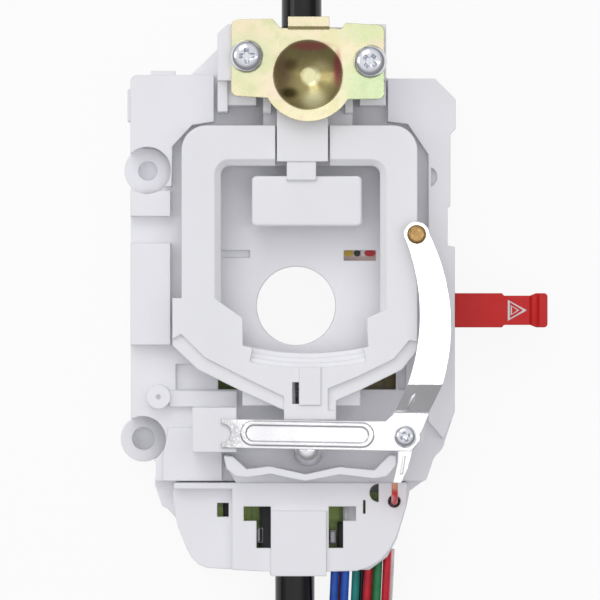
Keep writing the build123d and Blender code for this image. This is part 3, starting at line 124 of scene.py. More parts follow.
class StalkSwitchColours(bpy.types.PropertyGroup):
    """Colours of the dressed switch."""

    housing: bpy.props.FloatVectorProperty(
        name="Housing", description="Natural acetal of the housing", default=(0.90, 0.90, 0.925),
        subtype="COLOR", size=3, min=0.0, max=1.0)
    moving: bpy.props.FloatVectorProperty(
        name="Moving parts", description="Acetal of the cradle and the sliders", default=(0.92, 0.92, 0.94),
        subtype="COLOR", size=3, min=0.0, max=1.0)
    hazard: bpy.props.FloatVectorProperty(
        name="Hazard knob", description="Red of the hazard knob", default=(0.62, 0.012, 0.012),
        subtype="COLOR", size=3, min=0.0, max=1.0)
    stalk: bpy.props.FloatVectorProperty(
        name="Stalks", description="Black of the stalks", default=(0.006, 0.006, 0.007),
        subtype="COLOR", size=3, min=0.0, max=1.0)
    backdrop: bpy.props.FloatVectorProperty(
        name="Backdrop", description="Pale floor", default=(0.86, 0.86, 0.86),
        subtype="COLOR", size=3, min=0.0, max=1.0)


def sizes():
    """The scene's switch sizes."""
    return bpy.context.scene.stalk_switch_sizes


def colours():
    """The scene's switch colours."""
    return bpy.context.scene.stalk_switch_colours


# Materials

def fresh_material(name):
    """A material with a shader, an output and object coordinates, and its node tree."""
    material = bpy.data.materials.new(name)
    material.use_nodes = True
    tree = material.node_tree
    tree.nodes.clear()
    output = tree.nodes.new("ShaderNodeOutputMaterial")
    shader = tree.nodes.new("ShaderNodeBsdfPrincipled")
    tree.links.new(shader.outputs["BSDF"], output.inputs["Surface"])
    coords = tree.nodes.new("ShaderNodeTexCoord")
    return material, tree, shader, coords


def noise(tree, coords, scale, detail=3.0, stretch=(1.0, 1.0, 1.0), turn=0.0):
    """A noise texture on the piece's own coordinates."""
    mapping = tree.nodes.new("ShaderNodeMapping")
    mapping.inputs["Scale"].default_value = stretch
    mapping.inputs["Rotation"].default_value = (0.0, 0.0, turn)
    tree.links.new(coords.outputs["Object"], mapping.inputs["Vector"])
    texture = tree.nodes.new("ShaderNodeTexNoise")
    texture.inputs["Scale"].default_value = scale
    texture.inputs["Detail"].default_value = detail
    tree.links.new(mapping.outputs["Vector"], texture.inputs["Vector"])
    return texture.outputs["Fac"]


def ramp(tree, value, stops):
    """Colours along a value from 0 to 1."""
    node = tree.nodes.new("ShaderNodeValToRGB")
    elements = node.color_ramp.elements
    while len(elements) < len(stops):
        elements.new(0.5)
    for element, (place, colour) in zip(elements, stops):
        element.position = place
        element.color = (*colour, 1.0)
    tree.links.new(value, node.inputs["Fac"])
    return node.outputs["Color"]


def spread(tree, value, low, high):
    """A value from 0.3 to 0.7 stretched to a range."""
    node = tree.nodes.new("ShaderNodeMapRange")
    node.inputs["From Min"].default_value = 0.3
    node.inputs["From Max"].default_value = 0.7
    node.inputs["To Min"].default_value = low
    node.inputs["To Max"].default_value = high
    tree.links.new(value, node.inputs["Value"])
    return node.outputs["Result"]


def bump(tree, shader, height, strength, distance, edge=0.0):
    """A fine relief, and edges that catch the light as rounded ones do."""
    node = tree.nodes.new("ShaderNodeBump")
    if edge:
        rounded = tree.nodes.new("ShaderNodeBevel")
        rounded.samples = 6
        rounded.inputs["Radius"].default_value = edge
        tree.links.new(rounded.outputs["Normal"], node.inputs["Normal"])
    node.inputs["Strength"].default_value = strength
    node.inputs["Distance"].default_value = distance
    tree.links.new(height, node.inputs["Height"])
    tree.links.new(node.outputs["Normal"], shader.inputs["Normal"])


def combined(tree, operation, first, second):
    """A Math node's result for two values, each of them a socket or a number."""
    node = tree.nodes.new("ShaderNodeMath")
    node.operation = operation
    for socket, value in zip(node.inputs, (first, second)):
        if isinstance(value, float):
            socket.default_value = value
        else:
            tree.links.new(value, socket)
    return node.outputs["Value"]


def patch(tree, coords, centre, reach, sharp=1.0):
    """A value of 1 at a place on the switch that falls to 0 at its reach."""
    mapping = tree.nodes.new("ShaderNodeMapping")
    mapping.inputs["Scale"].default_value = tuple(1.0 / (side * MM) for side in reach)
    mapping.inputs["Location"].default_value = tuple(-place / side for place, side in zip(centre, reach))
    tree.links.new(coords.outputs["Object"], mapping.inputs["Vector"])
    falloff = tree.nodes.new("ShaderNodeTexGradient")
    falloff.gradient_type = "SPHERICAL"
    tree.links.new(mapping.outputs["Vector"], falloff.inputs["Vector"])
    edge = tree.nodes.new("ShaderNodeMapRange")
    edge.interpolation_type = "SMOOTHSTEP"
    edge.inputs["From Max"].default_value = 1.0 / sharp
    tree.links.new(falloff.outputs["Fac"], edge.inputs["Value"])
    return edge.outputs["Result"]


def overlaid(tree, under, value, colour, share=1.0):
    """A colour laid over another where a value is high."""
    mix = tree.nodes.new("ShaderNodeMix")
    mix.data_type = "RGBA"
    tree.links.new(combined(tree, "MULTIPLY", value, share), mix.inputs["Factor"])
    tree.links.new(under, mix.inputs["A"])
    mix.inputs["B"].default_value = (*colour, 1.0)
    return mix.outputs["Result"]


def shade(colour, factor):
    """A colour made darker or lighter."""
    return tuple(min(1.0, channel * factor) for channel in colour)


def mottled(tree, value, colour, contrast):
    """A colour that gets lighter along a value."""
    return ramp(tree, value, [(0.3, shade(colour, 1.0 - contrast)), (0.7, shade(colour, 1.0 + contrast))])


def moulded_plastic(name, colour, contrast, roughness, grain, strength, glow=0.0, edge=0.0004):
    """Moulded plastic: faint flow marks in colour and gloss, and a fine grain."""
    material, tree, shader, coords = fresh_material(name)
    flow = noise(tree, coords, 60.0, 4.0, (1.0, 0.4, 1.0))
    tint = ramp(tree, flow, [(0.32, shade(colour, 1.0 - contrast)), (0.68, shade(colour, 1.0 + contrast))])
    tree.links.new(tint, shader.inputs["Base Color"])
    tree.links.new(spread(tree, noise(tree, coords, 190.0), roughness - 0.06, roughness + 0.06),
                   shader.inputs["Roughness"])
    bump(tree, shader, noise(tree, coords, grain, 2.0), strength, 0.0001, edge)
    shader.inputs["Specular IOR Level"].default_value = 0.4
    if glow:
        shader.inputs["Subsurface Weight"].default_value = glow
        shader.inputs["Subsurface Radius"].default_value = (1.0, 0.9, 0.9)
        shader.inputs["Subsurface Scale"].default_value = 0.0015
    return material


def rolled_metal(name, colour, roughness, scratch=900.0, turn=0.0, stretch=(1.0, 0.06, 1.0), contrast=0.1):
    """Bright metal with long rolling marks and small smears."""
    material, tree, shader, coords = fresh_material(name)
    tint = mottled(tree, noise(tree, coords, 85.0, 4.0), colour, contrast)
    tree.links.new(tint, shader.inputs["Base Color"])
    shader.inputs["Metallic"].default_value = 1.0
    marks = noise(tree, coords, scratch, 3.0, stretch, turn)
    tree.links.new(spread(tree, marks, roughness * 0.7, roughness * 1.4), shader.inputs["Roughness"])
    bump(tree, shader, marks, 0.12, 0.00005, 0.00022)
    return material


# Where the film on the bracket changes: centre, reach, sharpness, colour and strength
CUP_CENTRE = (3.0, 57.4, 40.0)
FILM_PATCHES = [
    ((-12.2, 62.0, 41.0), (8.5, 7.0, 9.0), 1.4, (0.60, 0.72, 0.42), 0.8),
    ((20.0, 55.0, 41.0), (12.0, 11.0, 9.0), 1.4, (0.58, 0.72, 0.42), 0.85),
    ((17.0, 68.0, 41.0), (9.0, 4.5, 9.0), 1.3, (0.60, 0.72, 0.40), 0.6),
    ((21.0, 63.5, 41.0), (6.0, 4.0, 9.0), 1.2, (0.82, 0.62, 0.55), 0.45),
    ((-5.0, 54.0, 41.0), (6.0, 5.0, 9.0), 1.2, (0.84, 0.68, 0.58), 0.4),
]
# Painted reflections in the pressed cup, in the same columns: a darker gold over the whole cup for the dark
# surroundings its walls mirror, red and pink painted reflections on its upper and right walls, painted shade
# and dark painted reflections on its left and lower left, painted highlights above and below its flat bottom,
# and the flat bottom as pale as the plate
CUP_PAINTED_REFLECTIONS = [
    (CUP_CENTRE, (8.9, 8.9, 12.0), 12.0, (0.38, 0.32, 0.14), 1.0),
    ((3.6, 64.6, 40.0), (7.0, 1.7, 9.0), 1.3, (0.52, 0.13, 0.14), 0.75),
    ((10.3, 59.0, 40.0), (1.5, 6.5, 9.0), 1.3, (0.45, 0.09, 0.11), 0.85),
    ((-3.4, 58.5, 40.0), (3.0, 6.0, 9.0), 1.2, (0.30, 0.19, 0.12), 0.7),
    ((-1.2, 60.0, 40.0), (2.6, 2.2, 9.0), 1.3, (0.12, 0.08, 0.03), 0.7),
    ((-1.6, 53.0, 40.0), (3.2, 2.0, 9.0), 1.4, (0.05, 0.035, 0.01), 0.85),
    ((6.4, 60.0, 40.0), (3.2, 2.4, 9.0), 1.2, (0.62, 0.55, 0.28), 0.6),
    ((4.6, 51.0, 40.0), (4.5, 4.0, 9.0), 1.3, (0.80, 0.76, 0.44), 0.8),
    ((3.7, 57.2, 37.0), (3.0, 3.0, 5.0), 2.0, (0.80, 0.78, 0.48), 0.8),
]


def passivated_zinc(name):
    """Yellow passivated zinc: a cream film with green and pink drifts, and painted reflections, highlights and
    shade in the pressed cup.
    """
    material, tree, shader, coords = fresh_material(name)
    film = noise(tree, coords, 130.0, 4.0)
    fine = noise(tree, coords, 520.0, 3.0)
    tint = ramp(tree, film, [
        (0.36, (0.70, 0.70, 0.42)),
        (0.47, (0.82, 0.76, 0.50)),
        (0.56, (0.84, 0.74, 0.52)),
        (0.64, (0.76, 0.72, 0.44)),
    ])
    # The film's drifts first, then the cup's painted reflections, highlights and shade
    for centre, reach, sharp, colour, share in FILM_PATCHES + CUP_PAINTED_REFLECTIONS:
        tint = overlaid(tree, tint, patch(tree, coords, centre, reach, sharp), colour, share)
    tree.links.new(tint, shader.inputs["Base Color"])
    shader.inputs["Metallic"].default_value = 1.0
    tree.links.new(spread(tree, fine, 0.2, 0.33), shader.inputs["Roughness"])
    bump(tree, shader, fine, 0.12, 0.00006, 0.00035)
    return material


def frosted_strip(name, colour):
    """Bright strip steel whose left end is frosted."""
    material, tree, shader, coords = fresh_material(name)
    tint = mottled(tree, noise(tree, coords, 85.0, 4.0), colour, 0.06)
    end = patch(tree, coords, (-18.0, -31.7, 37.0), (7.0, 7.0, 7.0), 1.6)
    frost = combined(tree, "MULTIPLY", end, noise(tree, coords, 1300.0, 2.0))
    tint = overlaid(tree, tint, frost, (0.42, 0.41, 0.40), 0.9)
    tree.links.new(tint, shader.inputs["Base Color"])
    shader.inputs["Metallic"].default_value = 1.0
    marks = noise(tree, coords, 900.0, 3.0, (0.06, 1.0, 1.0))
    tree.links.new(spread(tree, marks, 0.12, 0.22), shader.inputs["Roughness"])
    bump(tree, shader, frost, 0.8, 0.0002, 0.0004)
    return material


def crimped_lead(name):
    """Red insulation that ends in bare copper at the terminal."""
    material, tree, shader, coords = fresh_material(name)
    tint = ramp(tree, noise(tree, coords, 240.0), [(0.3, (0.5, 0.02, 0.02)), (0.7, (0.72, 0.05, 0.045))])
    for centre, reach, colour in (
            ((24.9, -44.6, 36.0), (2.6, 2.0, 3.0), (0.62, 0.28, 0.17)),
            ((23.9, -47.6, 33.0), (1.6, 1.6, 4.0), (0.85, 0.42, 0.42))):
        tint = overlaid(tree, tint, patch(tree, coords, centre, reach, 1.5), colour)
    tree.links.new(tint, shader.inputs["Base Color"])
    tree.links.new(spread(tree, noise(tree, coords, 700.0), 0.3, 0.45), shader.inputs["Roughness"])
    bump(tree, shader, noise(tree, coords, 1500.0), 0.2, 0.0001)
    return material


def wire_insulation(name, colour):
    """Soft insulation with a faint waxy grain."""
    material, tree, shader, coords = fresh_material(name)
    tree.links.new(mottled(tree, noise(tree, coords, 240.0), colour, 0.2), shader.inputs["Base Color"])
    tree.links.new(spread(tree, noise(tree, coords, 700.0), 0.3, 0.42), shader.inputs["Roughness"])
    bump(tree, shader, noise(tree, coords, 1500.0), 0.1, 0.00005)
    return material


def laminate(name, colour, track):
    """Lacquered board with soft tracks showing under the lacquer."""
    material, tree, shader, coords = fresh_material(name)
    mapping = tree.nodes.new("ShaderNodeMapping")
    mapping.inputs["Scale"].default_value = (90.0, 60.0, 1.0)
    tree.links.new(coords.outputs["Object"], mapping.inputs["Vector"])
    cells = tree.nodes.new("ShaderNodeTexBrick")
    cells.inputs["Scale"].default_value = 1.0
    cells.inputs["Mortar Size"].default_value = 0.04
    cells.inputs["Mortar Smooth"].default_value = 0.3
    cells.inputs["Color1"].default_value = (*colour, 1.0)
    cells.inputs["Color2"].default_value = (*shade(colour, 0.88), 1.0)
    cells.inputs["Mortar"].default_value = (*track, 1.0)
    tree.links.new(mapping.outputs["Vector"], cells.inputs["Vector"])
    tree.links.new(cells.outputs["Color"], shader.inputs["Base Color"])
    tree.links.new(spread(tree, noise(tree, coords, 300.0), 0.25, 0.42), shader.inputs["Roughness"])
    bump(tree, shader, cells.outputs["Fac"], 0.3, 0.00005)
    return material


def padded_strip(name, colour):
    """Phenolic strip with the four lead ends that show through the floor's right slot."""
    material, tree, shader, coords = fresh_material(name)
    tint = mottled(tree, noise(tree, coords, 130.0), colour, 0.12)
    for centre, reach, pad in (
            ((13.2, 13.3, 19.5), (1.3, 0.9, 4.0), (0.62, 0.42, 0.03)),
            ((15.4, 13.3, 19.5), (0.9, 0.9, 4.0), (0.02, 0.018, 0.02)),
            ((16.9, 13.3, 19.5), (0.6, 0.9, 4.0), (0.75, 0.74, 0.72)),
            ((18.6, 13.3, 19.5), (1.5, 0.9, 4.0), (0.55, 0.01, 0.02))):
        tint = overlaid(tree, tint, patch(tree, coords, centre, reach, 9.0), pad)
    tree.links.new(tint, shader.inputs["Base Color"])
    tree.links.new(spread(tree, noise(tree, coords, 300.0), 0.3, 0.45), shader.inputs["Roughness"])
    bump(tree, shader, noise(tree, coords, 900.0), 0.2, 0.00005)
    return material


def tape_cloth(name):
    """Woven harness tape."""
    material, tree, shader, coords = fresh_material(name)
    weave = tree.nodes.new("ShaderNodeTexChecker")
    weave.inputs["Scale"].default_value = 1600.0
    weave.inputs["Color1"].default_value = (0.018, 0.018, 0.02, 1.0)
    weave.inputs["Color2"].default_value = (0.045, 0.045, 0.048, 1.0)
    tree.links.new(coords.outputs["Object"], weave.inputs["Vector"])
    tree.links.new(weave.outputs["Color"], shader.inputs["Base Color"])
    tree.links.new(spread(tree, noise(tree, coords, 500.0), 0.6, 0.8), shader.inputs["Roughness"])
    bump(tree, shader, weave.outputs["Fac"], 0.4, 0.00008)
    return material


FINISHES = {}
EVEN = (1.0, 1.0, 1.0)


def build_finishes():
    """All materials by name."""
    own = colours()
    FINISHES.update({
        "white_pom": moulded_plastic("natural acetal", own.housing, 0.015, 0.42, 900.0, 0.08, glow=0.2),
        "white_sliding": moulded_plastic("sliding acetal", own.moving, 0.015, 0.36, 900.0, 0.06, glow=0.2),
        # The rear cover's grey is painted shade: it stands for the shade on the white surfaces seen deep
        # through the floor's gaps
        "grey_cover": moulded_plastic("rear cover painted shade grey", (0.66, 0.66, 0.68), 0.04, 0.5, 1300.0, 0.25),
        "black_gloss": moulded_plastic("gloss black", own.stalk, 0.2, 0.12, 1600.0, 0.03, edge=0.0002),
        "black_matte": moulded_plastic("grained black", shade(own.stalk, 1.6), 0.2, 0.5, 1900.0, 0.4),
        "red_plastic": moulded_plastic("hazard red", own.hazard, 0.06, 0.52, 1500.0, 0.25),
        "yellow_zinc": passivated_zinc("yellow passivated zinc"),
        "chrome_screw": rolled_metal("screw plating", (0.74, 0.75, 0.79), 0.14, stretch=EVEN),
        "bright_steel": rolled_metal("bright strip steel", (0.82, 0.82, 0.83), 0.15, turn=0.1, contrast=0.04),
        "spring_steel": rolled_metal("spring wire", (0.2, 0.2, 0.21), 0.3, stretch=EVEN),
        "brass": rolled_metal("contact brass", (0.40, 0.25, 0.10), 0.26, stretch=EVEN, contrast=0.15),
        "green_board": laminate("green laminate", (0.34, 0.50, 0.06), (0.22, 0.34, 0.05)),
        "brown_board": laminate("contact laminate", (0.50, 0.38, 0.12), (0.34, 0.26, 0.1)),
        "tinned_blade": rolled_metal("tinned blade", (0.36, 0.36, 0.37), 0.4, contrast=0.2),
        "slot_strip": padded_strip("slot strip laminate", (0.62, 0.47, 0.43)),
        "tape": tape_cloth("harness tape"),
        "symbol_white": moulded_plastic("symbol ink", (0.8, 0.78, 0.76), 0.05, 0.5, 2000.0, 0.1),
    })
    for name, colour in WIRE_COLOURS.items():
        FINISHES[name] = wire_insulation(name.replace("_", " "), colour)


# Mesh helpers

def add_piece(name, mesh_data, body, finish):
    """A finished mesh as a piece that rides on a body."""
    piece = bpy.data.objects.new(name, mesh_data)
    bpy.context.scene.collection.objects.link(piece)
    piece.data.materials.append(FINISHES[finish])
    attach(piece, body)
    return piece


def to_mesh(form, name, smooth_deg=35.0):
    """A bmesh turned into mesh data with outward normals."""
    bmesh.ops.remove_doubles(form, verts=form.verts, dist=1e-7)
    bmesh.ops.recalc_face_normals(form, faces=form.faces)
    limit = math.radians(smooth_deg)
    for face in form.faces:
        face.smooth = True
    for edge in form.edges:
        if len(edge.link_faces) == 2 and edge.calc_face_angle() > limit:
            edge.smooth = False
    data = bpy.data.meshes.new(name)
    form.to_mesh(data)
    form.free()
    return data


def turned_form(profile, segments=48):
    """A closed solid turned about Z from (radius, height) points that start and end on the axis."""
    form = bmesh.new()
    verts = [form.verts.new((radius, 0.0, height)) for radius, height in profile]
    edges = [form.edges.new(pair) for pair in zip(verts, verts[1:])]
    bmesh.ops.spin(form, geom=verts + edges, cent=(0, 0, 0), axis=(0, 0, 1), angle=2 * math.pi,
                   steps=segments, use_merge=True)
    bmesh.ops.remove_doubles(form, verts=form.verts, dist=1e-7)
    bmesh.ops.recalc_face_normals(form, faces=form.faces)
    return form


# Operators

SENSOR_WIDTH = 36.0
PICTURE_WIDTH = 0.15
CAMERA_AIM = (0.001, 0.0015, 0.03)


class STALKSWITCH_OT_camera(bpy.types.Operator):
    """Puts the camera over the switch, as far off as a long lens."""

    bl_idname = "stalkswitch.camera"
    bl_label = "Camera"

    def execute(self, context):
        distance = sizes().camera_distance
        data = bpy.data.cameras.new("studio_camera")
        data.sensor_width = SENSOR_WIDTH
        data.lens = SENSOR_WIDTH * distance / PICTURE_WIDTH
        data.clip_start = 0.05
        data.clip_end = 20.0
        camera = bpy.data.objects.new("studio_camera", data)
        context.scene.collection.objects.link(camera)
        camera.location = Vector(CAMERA_AIM) + Vector((0.0, 0.0, distance))
        context.scene.camera = camera
        return {"FINISHED"}


class STALKSWITCH_OT_harness(bpy.types.Operator):
    """Lays the loom's wires in place of the CAD wires."""

    bl_idname = "stalkswitch.harness"
    bl_label = "Harness"

    def execute(self, context):
        diameter = sizes().wire_diameter
        for name, side, drop, finish in WIRES:
            curve = bpy.data.curves.new(f"{name}_line", "CURVE")
            curve.dimensions = "3D"
            curve.bevel_depth = diameter / 2
            curve.bevel_resolution = 5
            curve.resolution_u = 10
            curve.use_fill_caps = True
            line = curve.splines.new("NURBS")
            line.points.add(len(LOOM_ROUTE) - 1)
            for point, (x, y, z) in zip(line.points, LOOM_ROUTE):
                point.co = ((x + side) * MM, y * MM, (z - drop) * MM, 1.0)
            line.order_u = 3
            line.use_endpoint_u = True
            wire = bpy.data.objects.new(f"{name}_lead", curve)
            context.scene.collection.objects.link(wire)
            curve.materials.append(FINISHES[finish])
            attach(wire, "housing")
            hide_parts(name)
        return {"FINISHED"}


# Nodes with rounded edges, as a share of the moulded edges' rounding
SOFTENED = {
    "main_housing": 1.0, "lower_cover": 1.0, "cradle": 1.0, "dip_lever": 1.0, "rear_cover": 1.0,
    "hazard_knob": 1.0, "pivot_bracket": 0.7, "retainer_bar": 0.5, "horn_terminal": 0.4, "horn_arm": 0.4,
}


class STALKSWITCH_OT_finishes(bpy.types.Operator):
    """Gives every CAD node its finish and softens the moulded edges of the listed nodes."""

    bl_idname = "stalkswitch.finishes"
    bl_label = "Finishes"

    def execute(self, context):
        slots = {entry["node"]: entry["material_slot"] for entry in frame["record"]["subparts"]}
        soft = sizes().edge_softness
        own = {"retainer_bar": frosted_strip("retainer strip", (0.82, 0.82, 0.83)),
               "horn_lead": crimped_lead("horn lead")}
        for name, node in frame["nodes"].items():
            node.data.materials.clear()
            node.data.materials.append(own.get(name, FINISHES[slots[name]]))
        for name, share in SOFTENED.items():
            node = frame["nodes"][name]
            weld = node.modifiers.new("joined", "WELD")
            weld.merge_threshold = 1e-6
            edge = node.modifiers.new("soft edges", "BEVEL")
            edge.width = soft * share
            edge.segments = 2
            edge.limit_method = "ANGLE"
            edge.angle_limit = math.radians(40)
        return {"FINISHED"}


# A recess arm's cutter: its height and sink as shares of its depth, its foot's taper and its corners' rounding
ARM_HEIGHT_SHARE = 1.3
ARM_SINK_SHARE = 0.35
ARM_FOOT_TAPER = (0.45, 0.8, 1.0)
ARM_ROUNDING_SHARE = 0.25
# An arm's width as a share of the recess's length, and its depth as a share of the head's height
ARM_WIDTH_SHARE = 0.27
ARM_DEPTH_SHARE = 0.75


def cross_arm(length, width, depth):
    """A tapered wedge that cuts one arm of a cross recess, its top a little over height 0."""
    form = bmesh.new()
    bmesh.ops.create_cube(form, size=1.0)
    bmesh.ops.scale(form, verts=form.verts, vec=(length, width, depth * ARM_HEIGHT_SHARE))
    bmesh.ops.translate(form, verts=form.verts, vec=(0, 0, -depth * ARM_SINK_SHARE))
    foot = [vert for vert in form.verts if vert.co.z < 0]
    bmesh.ops.scale(form, verts=foot, vec=ARM_FOOT_TAPER)
    edges = [edge for edge in form.edges if abs((edge.verts[0].co - edge.verts[1].co).z) > depth]
    bmesh.ops.bevel(form, geom=edges, offset=width * ARM_ROUNDING_SHARE, segments=3, profile=0.5,
                    affect="EDGES", material=-1)
    bmesh.ops.recalc_face_normals(form, faces=form.faces)
    return form


def recessed(context, solid, arms):
    """The solid's mesh with the arms cut out of it."""
    data = bpy.data.meshes.new("blank")
    solid.to_mesh(data)
    solid.free()
    blank = bpy.data.objects.new("blank", data)
    context.scene.collection.objects.link(blank)
    cutters = []
    for arm in arms:
        arm_data = bpy.data.meshes.new("arm")
        arm.to_mesh(arm_data)
        arm.free()
        cutter = bpy.data.objects.new("arm", arm_data)
        context.scene.collection.objects.link(cutter)
        cutters.append(cutter)
        cut = blank.modifiers.new("cut", "BOOLEAN")
        cut.operation = "DIFFERENCE"
        cut.solver = "EXACT"
        cut.object = cutter
    context.view_layer.update()
    evaluated = blank.evaluated_get(context.evaluated_depsgraph_get())
    form = bmesh.new()
    form.from_mesh(evaluated.data)
    for extra in cutters + [blank]:
        extra_data = extra.data
        bpy.data.objects.remove(extra)
        bpy.data.meshes.remove(extra_data)
    return form


# Outline of a pan head from its crown to its seat, as shares of its radius and height
PAN_HEAD = [(0.0, 1.0), (0.35, 0.985), (0.62, 0.90), (0.82, 0.72), (0.94, 0.48), (0.99, 0.24), (1.0, 0.06),
            (0.985, 0.0)]
BRACKET_HEAD_R = 0.0042
BRACKET_HEAD_H = 0.0026
BRACKET_SHANK_R = 0.0019
BRACKET_TURNS = (0.05, math.radians(-38))
BAR_HEAD_H = 0.0016
BAR_SHANK_R = 0.0015
BAR_TURN = math.radians(20)
SCREW_SMOOTH_DEG = 50.0


def cross_screw(context, head_r, head_h, shank_r, shank_l, recess, turn, place):
    """A pan-head screw with a cross recess, its head standing on a place."""
    crown = [(head_r * radius, head_h * height) for radius, height in PAN_HEAD]
    shank = [(shank_r, 0.0), (shank_r, -shank_l + shank_r), (shank_r * 0.5, -shank_l), (0.0, -shank_l)]
    head = turned_form(crown + shank)
    arms = []
    for quarter in (0.0, math.pi / 2):
        arm = cross_arm(recess, recess * ARM_WIDTH_SHARE, head_h * ARM_DEPTH_SHARE)
        bmesh.ops.rotate(arm, verts=arm.verts, cent=(0, 0, 0), matrix=Matrix.Rotation(turn + quarter, 3, "Z"))
        bmesh.ops.translate(arm, verts=arm.verts, vec=(0, 0, head_h))
        arms.append(arm)
    form = recessed(context, head, arms)
    bmesh.ops.translate(form, verts=form.verts, vec=place)
    return form


class STALKSWITCH_OT_screws(bpy.types.Operator):
    """Replaces the visible screws with cross-recess pan heads."""

    bl_idname = "stalkswitch.screws"
    bl_label = "Screws"

    def execute(self, context):
        low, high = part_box("bracket_screws")
        seat = high[2] - BRACKET_HEAD_H
        places = ((low[0] + BRACKET_HEAD_R, high[1] - BRACKET_HEAD_R),
                  (high[0] - BRACKET_HEAD_R, low[1] + BRACKET_HEAD_R))
        for side, ((x, y), turn) in enumerate(zip(places, BRACKET_TURNS)):
            form = cross_screw(context, BRACKET_HEAD_R, BRACKET_HEAD_H, BRACKET_SHANK_R, seat - low[2],
                               sizes().bracket_recess, turn, (x, y, seat))
            name = f"bracket_screw_{side + 1}"
            screw = add_piece(name, to_mesh(form, name, SCREW_SMOOTH_DEG), "housing", "chrome_screw")
            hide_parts("bracket_screws")
        low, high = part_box("bar_screw")
        seat = high[2] - BAR_HEAD_H
        place = ((low[0] + high[0]) / 2, (low[1] + high[1]) / 2, seat)
        form = cross_screw(context, (high[0] - low[0]) / 2, BAR_HEAD_H, BAR_SHANK_R, seat - low[2],
                           sizes().bar_recess, BAR_TURN, place)
        screw = add_piece("retainer_screw", to_mesh(form, "retainer_screw", SCREW_SMOOTH_DEG), "housing",
                          "chrome_screw")
        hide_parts("bar_screw")
        return {"FINISHED"}


# Outer and inner edge of each triangle on the hazard knob: X of the back, X of the apex and width
TRIANGLES = (
    ((53.45, 58.3, 5.3), (54.0, 57.3, 4.1)),
    ((54.2, 56.4, 2.55), (54.55, 55.85, 1.85)),
)


class STALKSWITCH_OT_symbol(bpy.types.Operator):
    """Prints the double hazard triangle on the knob's front face."""

    bl_idname = "stalkswitch.symbol"
    bl_label = "Hazard symbol"

    def execute(self, context):
        low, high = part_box("hazard_knob")
        top = high[2]
        centre_y = (low[1] + high[1]) / 2
        form = bmesh.new()
        for rims in TRIANGLES:
            edges = []
            for back, apex, width in rims:
                corners = [(back * MM, centre_y - width / 2 * MM, top), (apex * MM, centre_y, top),
                           (back * MM, centre_y + width / 2 * MM, top)]
                verts = [form.verts.new(corner) for corner in corners]
                edges += [form.edges.new((verts[index], verts[(index + 1) % 3])) for index in range(3)]
            bmesh.ops.bridge_loops(form, edges=edges)
        thick = bmesh.ops.extrude_face_region(form, geom=list(form.faces))
        raised = [part for part in thick["geom"] if isinstance(part, bmesh.types.BMVert)]
        bmesh.ops.translate(form, verts=raised, vec=(0, 0, sizes().symbol_raise))
        add_piece("hazard_symbol", to_mesh(form, "hazard_symbol"), "hazard", "symbol_white")
        return {"FINISHED"}


SUNK_TOP_SHARE = 0.16
SUNK_TOP_DEPTH = 0.25


def moulded_block(limits, soft):
    """A block between X, Y and Z limits in millimetres, with rounded edges and a shallow sunk top."""
    form = bmesh.new()
    bmesh.ops.create_cube(form, size=1.0)
    spans = [high - low for low, high in limits]
    centre = [(high + low) / 2 * MM for low, high in limits]
    bmesh.ops.scale(form, verts=form.verts, vec=[span * MM for span in spans])
    bmesh.ops.translate(form, verts=form.verts, vec=centre)
    bmesh.ops.bevel(form, geom=list(form.edges), offset=soft * MM, segments=2, profile=0.5, affect="EDGES",
                    material=-1)
    top = max(form.faces, key=lambda face: face.calc_center_median().z)
    bmesh.ops.inset_individual(form, faces=[top], thickness=min(spans[:2]) * SUNK_TOP_SHARE * MM,
                               depth=-SUNK_TOP_DEPTH * MM)
    return form


# Clips and blades on the wiper board, and the strip under the slot: name, limits in X, Y and Z, edge rounding
# and finish
WINDOW_FITTINGS = [
    ("clip_left", ((-9.1, -5.9), (-61.2, -49.9), (21.0, 25.0)), 0.2, "black_matte"),
    ("clip_right", ((10.4, 12.2), (-61.2, -54.2), (21.0, 25.0)), 0.2, "black_matte"),
    ("clip_small", ((-18.3, -16.4), (-53.4, -48.8), (21.0, 22.6)), 0.2, "black_matte"),
    ("blade_left", ((-9.95, -8.2), (-59.4, -55.6), (21.0, 25.0)), 0.2, "tinned_blade"),
    ("blade_right", ((8.4, 10.1), (-59.6, -56.2), (21.0, 24.8)), 0.2, "tinned_blade"),
    ("blade_upper", ((11.7, 15.4), (-54.4, -49.9), (21.0, 24.4)), 0.2, "tinned_blade"),
    ("slot_strip", ((11.4, 20.7), (10.8, 14.6), (18.6, 20.0)), 0.15, "slot_strip"),
]


class STALKSWITCH_OT_fittings(bpy.types.Operator):
    """Adds the contact clips and blades in the cover's windows, and the strip under the right slot."""

    bl_idname = "stalkswitch.fittings"
    bl_label = "Window fittings"

    def execute(self, context):
        for name, limits, soft, finish in WINDOW_FITTINGS:
            add_piece(name, to_mesh(moulded_block(limits, soft), name), "housing", finish)
        return {"FINISHED"}


CREASE_HALF_SIZES = (0.00062, 0.0027, 0.00042)
CREASE_PLACE = (0.0285, -0.0240, 0.03735)
CREASE_TURN = math.radians(-27)
ARM_SLOPE = math.atan2(3.0, 6.9)


class STALKSWITCH_OT_crease(bpy.types.Operator):
    """Presses the stiffening crease into the sloped part of the horn arm."""

    bl_idname = "stalkswitch.crease"
    bl_label = "Horn arm crease"

    def execute(self, context):
        form = bmesh.new()
        bmesh.ops.create_uvsphere(form, u_segments=32, v_segments=16, radius=1.0)
        bmesh.ops.scale(form, verts=form.verts, vec=CREASE_HALF_SIZES)
        for angle, axis in ((CREASE_TURN, "Z"), (ARM_SLOPE, "X")):
            bmesh.ops.rotate(form, verts=form.verts, cent=(0, 0, 0), matrix=Matrix.Rotation(angle, 3, axis))
        bmesh.ops.translate(form, verts=form.verts, vec=CREASE_PLACE)
        add_piece("horn_crease", to_mesh(form, "horn_crease"), "horn_arm", "bright_steel")
        return {"FINISHED"}


